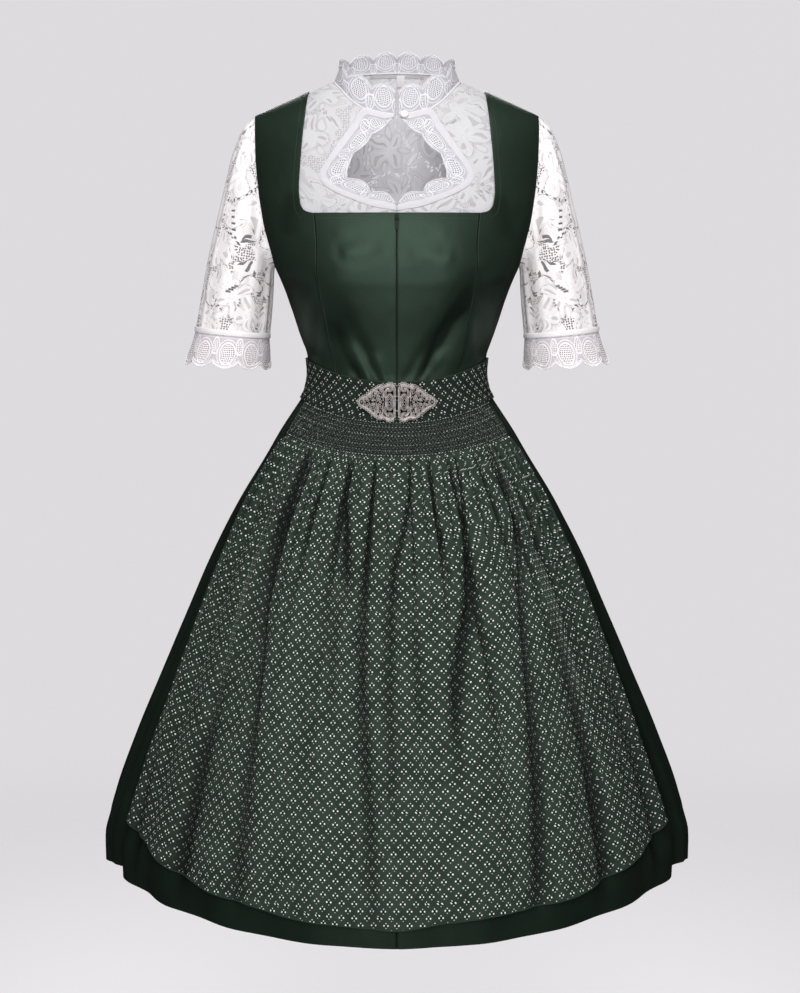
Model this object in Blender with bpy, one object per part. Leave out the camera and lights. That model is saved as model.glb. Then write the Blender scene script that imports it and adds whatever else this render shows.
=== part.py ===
# Dirndl set on a general figure: bodice and flared skirt, half apron with a smocked band and
# clasp, and a lace blouse with a stand collar. Metres, +Z up, front towards -Y. The origin is
# midway between the two shoulder seams, where the wearer holds the dress up.

import math

import bmesh
import bpy
import numpy as np

# ---- cloth and seams ----
SEAM_GAP = 0.0003
BODICE_WALL = 0.0016
SKIRT_WALL = 0.0014
APRON_WALL = 0.0012
LACE_WALL = 0.0010
BELT_WALL = 0.0020
TAPE_WALL = 0.0012

# ---- heights, before the waist dips at the front ----
CHEST_LINE = -0.190        # below it rings, above it the cloth runs over the shoulder
UNDERARM = -0.225
WAIST_SEAM = -0.378
BELT_TOP = -0.350
BELT_FOOT = -0.4045
SMOCK_FOOT = -0.4487
HEM = -1.057
NECKLINE = -0.151
BLOUSE_HEM = -0.262
WAIST_DIP = 0.0275         # how far the waist line drops at the centre front

# ---- layers, how far each outer face lies outside the dress form ----
BELT_LIFT = 0.0028
SMOCK_LIFT = 0.0021
SMOCK_PUFF = 0.0014
BLOUSE_LIFT = -0.0036
APRON_LIFT = 0.0030

# ---- counts ----
SKIRT_WAVES = 22
COLUMNS_PER_WAVE = 4
APRON_SPLIT = 2            # apron columns to each skirt column
APRON_REACH = 33           # apron columns on each side of the centre front
SMOCK_ROWS = 6
SMOCK_COLUMNS = 44
COLLAR_SCALLOPS = 6        # on each half
CUFF_SCALLOPS = 10
SCALLOP_STEPS = 4
CUFF_STEPS = 3

HOLE_TURN = 0.278          # side angle at which the armhole's edges run


def table(names, rows):
    """Columns by name, from rows of numbers."""
    return {name: np.array(column) for name, column in zip(names.split(), zip(*rows))}


# Girth of the dress form: half width, front depth, back depth, squareness of the section.
GIRTH = table("height half front back square", (
    (-1.057, 0.4040, 0.4180, 0.4140, 1.90),
    (-1.019, 0.4050, 0.4160, 0.4120, 1.90),
    (-0.983, 0.3970, 0.4080, 0.4040, 1.91),
    (-0.895, 0.3665, 0.3720, 0.3680, 1.95),
    (-0.808, 0.3320, 0.3310, 0.3270, 1.99),
    (-0.721, 0.2970, 0.2910, 0.2860, 2.02),
    (-0.635, 0.2615, 0.2475, 0.2421, 2.04),
    (-0.549, 0.2190, 0.2013, 0.1946, 2.07),
    (-0.482, 0.1800, 0.1588, 0.1508, 2.10),
    (-0.448, 0.1608, 0.1380, 0.1292, 2.12),
    (-0.414, 0.1395, 0.1110, 0.1040, 2.15),
    (-0.4045, 0.1333, 0.1040, 0.0970, 2.16),
    (-0.390, 0.1265, 0.0990, 0.0900, 2.18),
    (-0.370, 0.1236, 0.0975, 0.0875, 2.20),
    (-0.3475, 0.1250, 0.0990, 0.0885, 2.20),
    (-0.3256, 0.1320, 0.1055, 0.0910, 2.24),
    (-0.300, 0.1405, 0.1145, 0.0945, 2.30),
    (-0.269, 0.1505, 0.1255, 0.0985, 2.36),
    (-0.240, 0.1615, 0.1325, 0.1015, 2.44),
    (-0.2156, 0.1725, 0.1345, 0.1035, 2.50),
    (-0.190, 0.1815, 0.1345, 0.1045, 2.50),
    (-0.165, 0.1880, 0.1345, 0.1045, 2.50),
    (-0.120, 0.1950, 0.1345, 0.1045, 2.50),
    (-0.080, 0.1990, 0.1345, 0.1045, 2.50),
    (-0.016, 0.2015, 0.1345, 0.1045, 2.50),
    (0.130, 0.2030, 0.1345, 0.1045, 2.50),
))

# How much of the waist's dip each height takes.
DIP = table("height share", (
    (-1.000, 0.0), (-0.750, 0.35), (-0.550, 0.85), (-0.480, 1.0),
    (-0.345, 1.0), (-0.300, 0.5), (-0.255, 0.0),
))

# Height of the shoulder ridge over the half width, at the front and at the back of the neck.
RIDGE = table("x front back", (
    (0.000, 0.036, 0.125), (0.030, 0.0358, 0.112), (0.060, 0.0352, 0.070), (0.088, 0.0325, 0.0325),
    (0.121, 0.0180, 0.0180), (0.160, 0.0000, 0.0000), (0.195, -0.0160, -0.0160), (0.215, -0.0252, -0.0252),
))

# Roundness of the front from the chest line up to the ridge: low is a straight slope.
SLOPE = table("x front", ((0.00, 1.36), (0.06, 1.44), (0.12, 1.76), (0.20, 2.00)))
BACK_SLOPE = 2.2

BUST = {"x": 0.084, "z": -0.238, "wide": 0.050, "tall": 0.055, "rise": 0.008}

# Depth of the skirt's waves over the height.
WAVES = table("height depth", (
    (-1.057, 0.0062), (-0.900, 0.0052), (-0.720, 0.0034), (-0.600, 0.0020), (-0.500, 0.0006), (-0.440, 0.0),
))
CALM = table("height share", ((-1.057, 0.60), (-0.960, 0.45), (-0.820, 0.0)))    # loss of wave ahead and behind

# Seams of the bodice: distance from the centre line over the height.
FRONT_SEAM = table("z x", (
    (-0.410, 0.068), (-0.380, 0.075), (-0.330, 0.088), (-0.300, 0.0955), (-0.255, 0.1050),
    (-0.225, 0.1080), (-0.190, 0.1075), (-0.151, 0.1105),
))
BACK_SEAM = table("z x", (
    (-0.410, 0.048), (-0.340, 0.058), (-0.255, 0.078), (-0.190, 0.094), (-0.151, 0.1040),
))
STRAP_EDGE = table("z x", (
    (-0.151, 0.1110), (-0.1497, 0.1190), (-0.1455, 0.1255), (-0.137, 0.1298), (-0.120, 0.1312),
    (-0.090, 0.1298), (-0.040, 0.1262), (0.018, 0.1212),
))
BODICE_HEIGHTS = (
    WAIST_SEAM, -0.3475, -0.3256, -0.298, -0.268, -0.243,
    UNDERARM, -0.221, -0.209, CHEST_LINE, -0.170, NECKLINE,
)
STRAP_HEIGHTS = (-0.1497, -0.1455, -0.137, -0.115, -0.080, -0.040, -0.008, 0.008, 0.015)

SKIRT_HEIGHTS = (WAIST_SEAM, BELT_FOOT, SMOCK_FOOT, -0.505, -0.600, -0.770, -0.955, -1.015, HEM)

# How far the skirt swings out behind its sides and in before them, over the degrees from a side
# towards the front, as a share of the waves' depth.
SWING = table("angle share", (
    (-90.0, 0.0), (-45.0, 0.6), (-14.0, 2.5), (0.0, 0.7), (9.0, 0.0), (22.0, -0.3), (45.0, -0.1), (90.0, 0.0),
))

# How far the skirt's hem rises from level over the angle from the centre front, in degrees.
HEM_RISE = table("angle rise", (
    (0.0, 0.0), (20.0, 0.0010), (40.0, 0.0050), (60.0, 0.0080), (75.0, 0.0050), (90.0, 0.0030),
    (130.0, 0.0010), (180.0, 0.0),
))

# The apron's hem over the angle from the centre front, in degrees.
APRON_HEM = table("angle z", (
    (-68.0, -0.969), (-57.0, -0.985), (-48.0, -1.000), (-38.0, -1.011), (-29.0, -1.018), (-20.0, -1.026),
    (-9.0, -1.030), (0.0, -1.033), (8.0, -1.027), (16.0, -1.023), (27.0, -1.019), (38.0, -1.012),
    (48.0, -0.999), (57.0, -0.986), (68.0, -0.969),
))
APRON_HEIGHTS = (-0.4490, -0.474, -0.505, -0.600, -0.770, -0.955)

# Gathers under the smocked band: angle of each crease, its width there, and where it ends.
CREASES = table("angle wide foot", (
    (-62.0, 2.2, -0.520), (-54.0, 2.4, -0.540), (-45.0, 2.6, -0.640), (-38.0, 2.4, -0.560),
    (-30.0, 2.4, -0.550), (-22.0, 2.6, -0.610), (-10.0, 2.8, -0.640), (-3.0, 2.0, -0.540),
    (6.0, 3.0, -0.620), (15.0, 2.6, -0.580), (24.0, 2.6, -0.630), (35.0, 2.4, -0.560),
    (43.0, 2.6, -0.600), (50.0, 2.2, -0.540), (58.0, 2.4, -0.550), (64.0, 2.0, -0.520),
))
GATHER_PUFF = table("height lift", (
    (-1.040, 0.0008), (-0.860, 0.0012), (-0.700, 0.0022), (-0.600, 0.0042), (-0.530, 0.0062),
    (-0.485, 0.0052), (-0.449, 0.0),
))

# Blouse front: its edge from the neck down the keyhole to the centre, and the keyhole's own hole.
NECK_EDGE = table("x z", ((0.0880, 0.0325), (0.0780, 0.0215), (0.0630, 0.0045), (0.0460, -0.0085)))
KEYHOLE = table("x z hole_x hole_z", (
    (0.0030, -0.0170, 0.0050, -0.0225),
    (0.0180, -0.0150, 0.0120, -0.0265),
    (0.0330, -0.0115, 0.0190, -0.0325),
    (0.0460, -0.0085, 0.0265, -0.0395),
    (0.0600, -0.0290, 0.0370, -0.0500),
    (0.0735, -0.0490, 0.0470, -0.0600),
    (0.0860, -0.0680, 0.0570, -0.0710),
    (0.0980, -0.0860, 0.0650, -0.0830),
    (0.1045, -0.1000, 0.0680, -0.0940),
    (0.0985, -0.1120, 0.0640, -0.1020),
    (0.0850, -0.1215, 0.0530, -0.1080),
    (0.0590, -0.1330, 0.0370, -0.1180),
    (0.0290, -0.1430, 0.0190, -0.1270),
    (0.0004, -0.1480, 0.0004, -0.1360),
))
TRIM_RISE = table("run rise", ((0.00, 0.005), (0.52, 0.005), (0.66, 0.010), (1.00, 0.010)))
KEYHOLE_CORNER = 3         # row of KEYHOLE where the blouse front's edge joins it
KEYHOLE_STEPS = 15
TRIM_SCALLOPS = 5
NECK_STEPS = 5
TAPE_WIDTH = 0.0098
COLLAR_MIDDLE = 0.006      # how far behind the shoulder line the neck's middle lies
COLLAR_CLEAR = 0.0009
COLLAR_TOP = table("turn reach z", (
    (0.0, 0.0600, 0.0100), (25.0, 0.0640, 0.0160), (50.0, 0.0720, 0.0280), (75.0, 0.0790, 0.0430),
    (100.0, 0.0790, 0.0520), (130.0, 0.0720, 0.0600), (155.0, 0.0650, 0.0660), (180.0, 0.0620, 0.0680),
))
SCALLOP_RISE = 0.0100

# Sleeve of the right-hand side: outer and inner lines and half depth, from armhole to cuff seam.
SLEEVE = table("along out_x out_z in_x in_z depth", (
    (0.00, 0.1995, -0.0180, 0.1688, -0.2238, 0.0462),
    (0.10, 0.2110, -0.0270, 0.1705, -0.2250, 0.0474),
    (0.25, 0.2255, -0.0600, 0.1712, -0.2340, 0.0530),
    (0.40, 0.2365, -0.1050, 0.1715, -0.2480, 0.0580),
    (0.55, 0.2495, -0.1580, 0.1724, -0.2640, 0.0600),
    (0.70, 0.2620, -0.2100, 0.1738, -0.2820, 0.0600),
    (0.85, 0.2720, -0.2620, 0.1757, -0.3020, 0.0590),
    (1.00, 0.2810, -0.3130, 0.1780, -0.3220, 0.0580),
))
CUFF = table("along out_x out_z in_x in_z depth", (
    (0.0, 0.2814, -0.3134, 0.1782, -0.3224, 0.0582),
    (0.5, 0.2870, -0.3320, 0.1775, -0.3400, 0.0595),
    (1.0, 0.2930, -0.3480, 0.1780, -0.3560, 0.0610),
))
CUFF_SCALLOP = 0.0090
ARMHOLE_CLEAR = 0.0016
ARMHOLE_MIDDLE = -0.1205
LADDERS = table("along turn tilt bars", (
    (0.46, 62.0, 12.0, 4), (0.74, 84.0, -15.0, 4), (0.46, 298.0, -12.0, 4), (0.74, 276.0, 15.0, 4),
))
BAR = {"long": 0.0072, "high": 0.0027, "pitch": 0.0056, "deep": 0.0080}

# ---- hard pieces ----
CLASP = {"thick": 0.0018, "turn": 6.5, "lean": 5.5, "gap": 0.0011, "z": -0.4045}
CLASP_EDGE = table("u w", (
    (0.0006, 0.0000), (0.0006, 0.0160), (0.0022, 0.0218), (0.0058, 0.0249),
    (0.0098, 0.0251), (0.0132, 0.0230), (0.0158, 0.0216), (0.0200, 0.0223),
    (0.0240, 0.0214), (0.0280, 0.0188), (0.0330, 0.0152), (0.0380, 0.0110),
    (0.0428, 0.0076), (0.0468, 0.0057), (0.0500, 0.0034), (0.0512, 0.0000),
))
BOSS = {"u": 0.0085, "wide": 0.0042, "deep": 0.0022, "tall": 0.0085}
TIP_BEAD = {"u": 0.0465, "wide": 0.0028, "deep": 0.0018, "tall": 0.0028}
BUTTON = {"x": 0.0100, "z": -0.0180, "radius": 0.0058, "flat": 0.50, "clear": 0.0004}
LABEL = {"x": 0.0055, "top": 0.0462, "foot": 0.0300, "wide": 0.0120, "clear": 0.0012}
SLIDER = {
    "z": -0.1580, "wide": 0.0056, "tall": 0.0090, "thick": 0.0016,
    "ear": 0.0009, "ear_tall": 0.0024, "bar": 0.0005, "bar_drop": -0.0015, "bite": 0.0005,
}
PULL = {
    "wide": 0.0042, "neck": 0.0022, "long": 0.0150, "thick": 0.0010, "eye": 0.0013, "hole": 0.0008,
    "neck_top": 0.0009, "neck_foot": 0.0035, "shoulder": 0.0060, "corner": 0.0012,
}

LOOKS = {
    "sateen": ((0.030, 0.052, 0.036), 0.45, 0.0),
    "print": ((0.042, 0.062, 0.047), 0.60, 0.0),
    "lace": ((0.860, 0.835, 0.840), 0.80, 0.0),
    "tape": ((0.830, 0.820, 0.835), 0.75, 0.0),
    "silver": ((0.300, 0.280, 0.275), 0.38, 1.0),
    "zip": ((0.020, 0.028, 0.022), 0.35, 0.6),
    "pearl": ((0.850, 0.840, 0.830), 0.20, 0.0),
}


def read(rows, by, column, at):
    """A smooth curve through a table's rows, held level past its ends."""
    x = rows[by]
    y = rows[column]
    at = np.clip(at, x[0], x[-1])
    step = np.diff(x)
    rise = np.diff(y) / step
    middle = np.where(rise[:-1] * rise[1:] > 0, 2 * rise[:-1] * rise[1:] / (rise[:-1] + rise[1:] + 1e-300), 0)
    slope = np.concatenate(([rise[0]], middle, [rise[-1]]))
    i = np.clip(np.searchsorted(x, at, side="right") - 1, 0, len(step) - 1)
    s = (at - x[i]) / step[i]
    ends = y[i] * (1 + 2 * s) * (1 - s) ** 2 + y[i + 1] * s * s * (3 - 2 * s)
    return ends + step[i] * (slope[i] * s * (1 - s) ** 2 - slope[i + 1] * s * s * (1 - s))


def signed_power(value, power):
    """A power that keeps the sign."""
    return np.sign(value) * np.abs(value) ** power


def dress_form(angle, height):
    """The dress form's surface. The angle starts at the +X side and turns through the front.
    The height is metres from the chest line downwards (negative), or the share of the way from
    the chest line over to the shoulder ridge (0 to 1)."""
    across = np.cos(angle)
    deep = np.sin(angle)
    ahead = deep >= 0
    below = CHEST_LINE + np.minimum(height, 0)
    share = np.sin(np.clip(height, 0, 1) * math.pi / 2)
    level = below
    for _ in range(6):
        square = read(GIRTH, "height", "square", level)
        x = signed_power(across, 2 / square) * read(GIRTH, "height", "half", level)
        ridge = np.where(ahead, read(RIDGE, "x", "front", np.abs(x)), read(RIDGE, "x", "back", np.abs(x)))
        level = np.where(height > 0, CHEST_LINE + (ridge - CHEST_LINE) * share, below)
    steep = read(SLOPE, "x", "front", np.abs(x))
    power = np.where(ahead, steep + (2 - steep) * (1 - share), BACK_SLOPE)
    curl = np.clip(1 - share ** power, 0, 1) ** (1 / power)
    depth = np.where(ahead, read(GIRTH, "height", "front", level), read(GIRTH, "height", "back", level))
    y = -signed_power(deep, 2 / square) * depth * curl
    dip = WAIST_DIP * np.clip(deep, 0, 1) ** 2 * read(DIP, "height", "share", level)
    z = np.where(height > 0, level, below - dip)
    apart = ((np.abs(x) - BUST["x"]) / BUST["wide"]) ** 2 + ((level - BUST["z"]) / BUST["tall"]) ** 2
    y = y - np.where(ahead, BUST["rise"] * np.exp(-apart) * np.clip(deep * 2, 0, 1), 0)
    return np.stack([x, y, z], axis=-1)


def chart(x, z, ahead=True):
    """The dress form's angle and height at a place seen from the front or the back."""
    x = np.asarray(x, float)
    z = np.asarray(z, float)
    ridge = read(RIDGE, "x", "front" if ahead else "back", np.abs(x))
    share = np.clip((z - CHEST_LINE) / (ridge - CHEST_LINE), 0, 1)
    height = np.where(z > CHEST_LINE, np.arcsin(share) * 2 / math.pi, z - CHEST_LINE)
    half = read(GIRTH, "height", "half", z)
    square = read(GIRTH, "height", "square", z)
    angle = np.arccos(np.clip(signed_power(x / half, square / 2), -1, 1))
    return (angle if ahead else -angle), height


def skirt_form(angle, height):
    """The skirt's surface: the dress form's rings with waves that deepen towards the hem."""
    point = dress_form(angle, height - CHEST_LINE)
    uneven = 1 + 0.42 * np.cos(2 * angle) + 0.12 * np.sin(3 * angle + 0.5) + 0.08 * np.sin(7 * angle)
    swing = read(SWING, "angle", "share", np.degrees(np.arcsin(np.clip(np.sin(angle), -1, 1))))
    across = np.clip((np.abs(np.sin(angle)) - 0.20) / 0.25, 0, 1)
    calm = 1 - across * across * (3 - 2 * across) * read(CALM, "height", "share", height)
    wave = (swing - np.cos(SKIRT_WAVES * angle) * uneven * calm) * read(WAVES, "height", "depth", height)
    out = point * np.array([1, 1, 0])
    return point + out / np.linalg.norm(out, axis=-1, keepdims=True) * wave[..., None]


def outward(surface, angle, height, top=None):
    """The surface's outward normals, from small steps each way."""
    turn = 1e-3
    climb = 1e-3
    upper = height + climb if top is None else np.minimum(height + climb, top)
    along = surface(angle + turn, height) - surface(angle - turn, height)
    up = surface(angle, upper) - surface(angle, height - climb)
    normal = np.cross(along, up)
    normal /= np.linalg.norm(normal, axis=-1, keepdims=True) + 1e-12
    middle = surface(angle, height) * np.array([1, 1, 0])
    facing = np.sum(normal * middle, axis=-1, keepdims=True)
    return normal * np.where(facing < 0, -1, 1)


def layer(surface, angle, height, lift, wall, top=None):
    """Outer and inner points of a cloth that lies a given distance outside a surface."""
    point = surface(angle, height)
    normal = outward(surface, angle, height, top)
    return point + normal * lift, point + normal * (lift - wall)


def inset(grid, sides):
    """A grid of points with the named sides drawn in by half a seam gap."""
    grid = grid.copy()
    source = grid.copy()
    edges = {"left": (np.s_[:, 0], np.s_[:, 1]), "right": (np.s_[:, -1], np.s_[:, -2]),
             "first": (np.s_[0], np.s_[1]), "last": (np.s_[-1], np.s_[-2])}
    for side in sides.split():
        edge, near = edges[side]
        step = source[near] - source[edge]
        length = np.linalg.norm(step, axis=-1, keepdims=True)
        grid[edge] = grid[edge] + step / length * SEAM_GAP / 2
    return grid


def material(name, look):
    """A plain Principled material."""
    colour, roughness, metallic = LOOKS[look]
    made = bpy.data.materials.new(name)
    made.use_nodes = True
    shader = made.node_tree.nodes["Principled BSDF"]
    shader.inputs["Base Color"].default_value = (*colour, 1)
    shader.inputs["Roughness"].default_value = roughness
    shader.inputs["Metallic"].default_value = metallic
    return made


def keep(name, mesh, look, smooth=True):
    """An object for a finished mesh, in the garment's collection."""
    if smooth:
        mesh.shade_smooth()
        mesh.set_sharp_from_angle(angle=math.radians(40))
    made = bpy.data.objects.new(name, mesh)
    mesh.materials.append(material(name, look))
    bpy.data.collections["dirndl_set"].objects.link(made)
    return made


def wall(name, outer, inner, look, closed=False):
    """A closed cloth wall from its outer and inner grids of points; the inner grid may have fewer
    rows. A closed wall joins its last column to its first."""
    rows, columns = outer.shape[:2]
    under = inner.shape[0]
    face = np.arange(rows * columns).reshape(rows, columns)
    back = np.arange(under * columns).reshape(under, columns) + rows * columns
    if closed:
        face = np.concatenate([face, face[:, :1]], axis=1)
        back = np.concatenate([back, back[:, :1]], axis=1)
    faces = []
    for grid, flip in ((face, False), (back, True)):
        quads = np.stack([grid[:-1, :-1], grid[:-1, 1:], grid[1:, 1:], grid[1:, :-1]], axis=-1).reshape(-1, 4)
        faces += (quads[:, [0, 3, 2, 1]] if flip else quads).tolist()
    for row, turn in ((0, True), (-1, False)):
        rim = np.stack([face[row, :-1], face[row, 1:], back[row, 1:], back[row, :-1]], axis=-1)
        faces += (rim[:, ::-1] if turn else rim).tolist()
    if not closed:
        faces.append(face[:, 0].tolist() + back[::-1, 0].tolist())
        faces.append(face[::-1, -1].tolist() + back[:, -1].tolist())
        if under == rows:
            faces = faces[:-2]
            for column, turn in ((0, False), (-1, True)):
                near, far = face[:, column], back[:, column]
                rim = np.stack([near[:-1], near[1:], far[1:], far[:-1]], axis=-1)
                faces += (rim[:, ::-1] if turn else rim).tolist()
    mesh = bpy.data.meshes.new(name)
    points = np.concatenate([outer.reshape(-1, 3), inner.reshape(-1, 3)])
    mesh.from_pydata(points.tolist(), [], faces)
    form = bmesh.new()
    form.from_mesh(mesh)
    bmesh.ops.recalc_face_normals(form, faces=form.faces)
    form.to_mesh(mesh)
    form.free()
    return keep(name, mesh, look)


def mirrored(grid):
    """The same points on the other side of the centre."""
    return grid * np.array([-1, 1, 1])


def pair(name, outer, inner, look, closed=False):
    """The right-hand wall as given and its mirror image on the left."""
    wall(name + "_right", outer, inner, look, closed)
    wall(name + "_left", mirrored(outer), mirrored(inner), look, closed)


def between(start, end, count):
    """Columns evenly spaced from each row's start to its end."""
    share = np.linspace(0, 1, count + 1)
    return start[:, None] * (1 - share) + end[:, None] * share


# ---- bodice ----

def armhole_turn(height):
    """Side angle of the armhole's edge: none at the underarm, whole from the chest line up."""
    drop = np.clip((CHEST_LINE - height) / (CHEST_LINE - UNDERARM), 0, 1)
    return np.where(height < UNDERARM, 0.0, HOLE_TURN * np.sqrt(1 - drop ** 2))


def bodice_middle(seam, ahead, columns):
    """A centre panel, from the centre line to its seam, up to the neckline."""
    z = np.array(BODICE_HEIGHTS)
    x = between(np.zeros_like(z), read(seam, "z", "x", z), columns)
    angle, height = chart(x, np.repeat(z[:, None], columns + 1, axis=1), ahead)
    return layer(dress_form, angle, height, 0, BODICE_WALL, top=1)


def bodice_side(seam, ahead, columns):
    """A side panel cut in one with its strap: seam and strap edge to side seam and armhole."""
    low = np.array(BODICE_HEIGHTS)
    high = np.array(STRAP_HEIGHTS)
    z = np.concatenate([low, high])
    x = np.concatenate([read(seam, "z", "x", low), read(STRAP_EDGE, "z", "x", high)])
    start, height = chart(x, z, ahead)
    ridge_x = STRAP_EDGE["x"][-1:]
    ridge_start, ridge_height = chart(ridge_x, read(RIDGE, "x", "front", ridge_x), ahead)
    start = np.append(start, ridge_start)
    height = np.append(height, ridge_height)
    end = armhole_turn(np.append(z, 0))
    angle = between(start, end if ahead else -end, columns)
    height = np.repeat(height[:, None], columns + 1, axis=1)
    return layer(dress_form, angle, height, 0, BODICE_WALL, top=1)


def build_bodice():
    """Seven panels: two centre fronts, two side fronts, a centre back and two side backs."""
    outer, inner = bodice_middle(FRONT_SEAM, True, 4)
    sides = "left right first"
    pair("bodice_centre_front", inset(outer, sides), inset(inner, sides), "sateen")
    outer, inner = bodice_middle(BACK_SEAM, False, 3)
    outer = np.concatenate([mirrored(outer[:, :0:-1]), outer], axis=1)
    inner = np.concatenate([mirrored(inner[:, :0:-1]), inner], axis=1)
    wall("bodice_centre_back", inset(outer, sides), inset(inner, sides), "sateen")
    sides = "left right first last"
    outer, inner = bodice_side(FRONT_SEAM, True, 4)
    pair("bodice_side_front", inset(outer, sides), inset(inner, sides), "sateen")
    outer, inner = bodice_side(BACK_SEAM, False, 4)
    pair("bodice_side_back", inset(outer, sides), inset(inner, sides), "sateen")


# ---- skirt ----

def skirt_grid(first, last):
    """Angles and heights of a run of the skirt's columns."""
    turn = 2 * math.pi / (SKIRT_WAVES * COLUMNS_PER_WAVE)
    angle, height = np.meshgrid(np.arange(first, last + 1) * turn, np.array(SKIRT_HEIGHTS))
    from_front = np.abs(np.mod(np.degrees(angle[-1]) + 90, 360) - 180)
    height[-1] += read(HEM_RISE, "angle", "rise", from_front)
    return angle, height


def build_skirt():
    """Four panels, with seams at the centre front, the sides and the centre back."""
    quarter = SKIRT_WAVES * COLUMNS_PER_WAVE // 4
    names = ("skirt_front_right", "skirt_front_left", "skirt_back_left", "skirt_back_right")
    for number, name in enumerate(names):
        angle, height = skirt_grid(number * quarter, (number + 1) * quarter)
        outer, inner = layer(skirt_form, angle, height, 0, SKIRT_WALL)
        sides = "left right first"
        wall(name, inset(outer, sides), inset(inner, sides), "sateen")


# ---- apron ----

def skirt_normal(angle, height):
    """Outward normals of the skirt's surface."""
    return outward(skirt_form, angle, height)


def on_skirt(column, height):
    """Points and normals on the skirt's own flat facets, at part columns and any height."""
    turn = 2 * math.pi / (SKIRT_WAVES * COLUMNS_PER_WAVE)
    low = np.floor(column + 1e-9)
    share = (column - low)[..., None]
    heights = np.array(SKIRT_HEIGHTS)[::-1]
    row = np.clip(np.searchsorted(heights, height) - 1, 0, len(heights) - 2)
    rise = ((height - heights[row]) / (heights[row + 1] - heights[row]))[..., None]
    mixed = []
    for field in (skirt_form, skirt_normal):
        foot, head = [field(low * turn, level) * (1 - share) + field((low + 1) * turn, level) * share
                      for level in (heights[row], heights[row + 1])]
        mixed.append(foot * (1 - rise) + head * rise)
    point, normal = mixed
    return point, normal / np.linalg.norm(normal, axis=-1, keepdims=True)


def apron_columns():
    """The apron's columns in the skirt's column numbers, and in degrees from the centre front."""
    step = np.arange(-APRON_REACH, APRON_REACH + 1) / APRON_SPLIT
    centre = SKIRT_WAVES * COLUMNS_PER_WAVE / 4
    degrees = -step * 360 / (SKIRT_WAVES * COLUMNS_PER_WAVE)
    return centre + step, degrees


def build_smocked_band():
    """Gathered band: rows of shirring with puffs between them, over a plain inside."""
    centre = SKIRT_WAVES * COLUMNS_PER_WAVE / 4
    reach = APRON_REACH / APRON_SPLIT
    column = centre + np.linspace(-reach, reach, SMOCK_COLUMNS + 1)
    rows = 2 * SMOCK_ROWS + 1
    heights = np.linspace(BELT_FOOT - SEAM_GAP, SMOCK_FOOT + SEAM_GAP / 2, rows)
    point, normal = on_skirt(*np.meshgrid(column, heights))
    row, place = np.meshgrid(np.arange(rows), np.arange(len(column)), indexing="ij")
    stitched = row % 2 == 0
    tall = (row // 2 + place) % 2 == 0
    puff = np.where(stitched, 0.0, np.where(tall, SMOCK_PUFF, SMOCK_PUFF * 0.35))
    outer = point + normal * (SMOCK_LIFT + puff)[..., None]
    point, normal = on_skirt(*np.meshgrid(column, np.array([heights[0], heights[-1]])))
    inner = point + normal * 0.0005
    wall("apron_smocked_band", outer, inner, "print")


def gather_lift(degrees, height):
    """How far the apron stands off the skirt: puffs cut by creases that soften downwards."""
    puff = read(GATHER_PUFF, "height", "lift", height)
    left = np.ones_like(puff)
    for angle, wide, foot in zip(*CREASES.values()):
        length = np.clip((SMOCK_FOOT - height) / (SMOCK_FOOT - foot), 0, 2)
        spread = wide * (0.8 + 0.9 * length)
        left = left * (1 - np.exp(-((degrees - angle) / spread) ** 2) * np.exp(-length ** 2))
    return puff * left


def build_apron():
    """The gathered half apron, from the smocked band to its curved hem."""
    column, degrees = apron_columns()
    hem = read(APRON_HEM, "angle", "z", degrees)
    heights = [np.full_like(hem, height) for height in APRON_HEIGHTS]
    corner = SKIRT_HEIGHTS[-2]
    heights += [np.where(hem < corner - 0.002, corner, (APRON_HEIGHTS[-1] + hem) / 2), hem]
    height = np.array(heights)
    column = np.repeat(column[None], len(height), axis=0)
    degrees = np.repeat(degrees[None], len(height), axis=0)
    point, normal = on_skirt(column, height)
    lift = APRON_LIFT + gather_lift(degrees, height)
    lift[0] = SMOCK_LIFT - 0.0001
    outer = point + normal * lift[..., None]
    inner = point + normal * (lift - APRON_WALL)[..., None]
    wall("apron_panel", outer, inner, "print")


def build_waistband():
    """The apron's waistband, all round: its ends meet under the clasp."""
    heights = np.array([BELT_TOP, WAIST_SEAM, BELT_FOOT])
    turn = np.linspace(-math.pi / 2, math.pi / 2, 23)
    angle, height = np.meshgrid(turn, heights - CHEST_LINE)
    outer, inner = layer(dress_form, angle, height, BELT_LIFT, BELT_WALL)
    pair("apron_waistband", inset(outer, "left right"), inset(inner, "left right"), "print")


# ---- blouse ----

def along_rows(rows, at):
    """A table read smoothly at part row numbers."""
    counted = {"row": np.arange(len(rows["x"]), dtype=float), **rows}
    return {name: read(counted, "row", name, at) for name in rows}


def keyhole_stations():
    """Row numbers along the keyhole, from the centre of the neck to the corner and down."""
    last = len(KEYHOLE["x"]) - 1
    return np.concatenate([np.arange(KEYHOLE_CORNER), np.linspace(KEYHOLE_CORNER, last, KEYHOLE_STEPS + 1)])


def neck_front():
    """The front neck's edge from the shoulder to the keyhole's corner."""
    edge = along_rows(NECK_EDGE, np.linspace(0, len(NECK_EDGE["x"]) - 1, NECK_STEPS + 1))
    return edge["x"], edge["z"]


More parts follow.
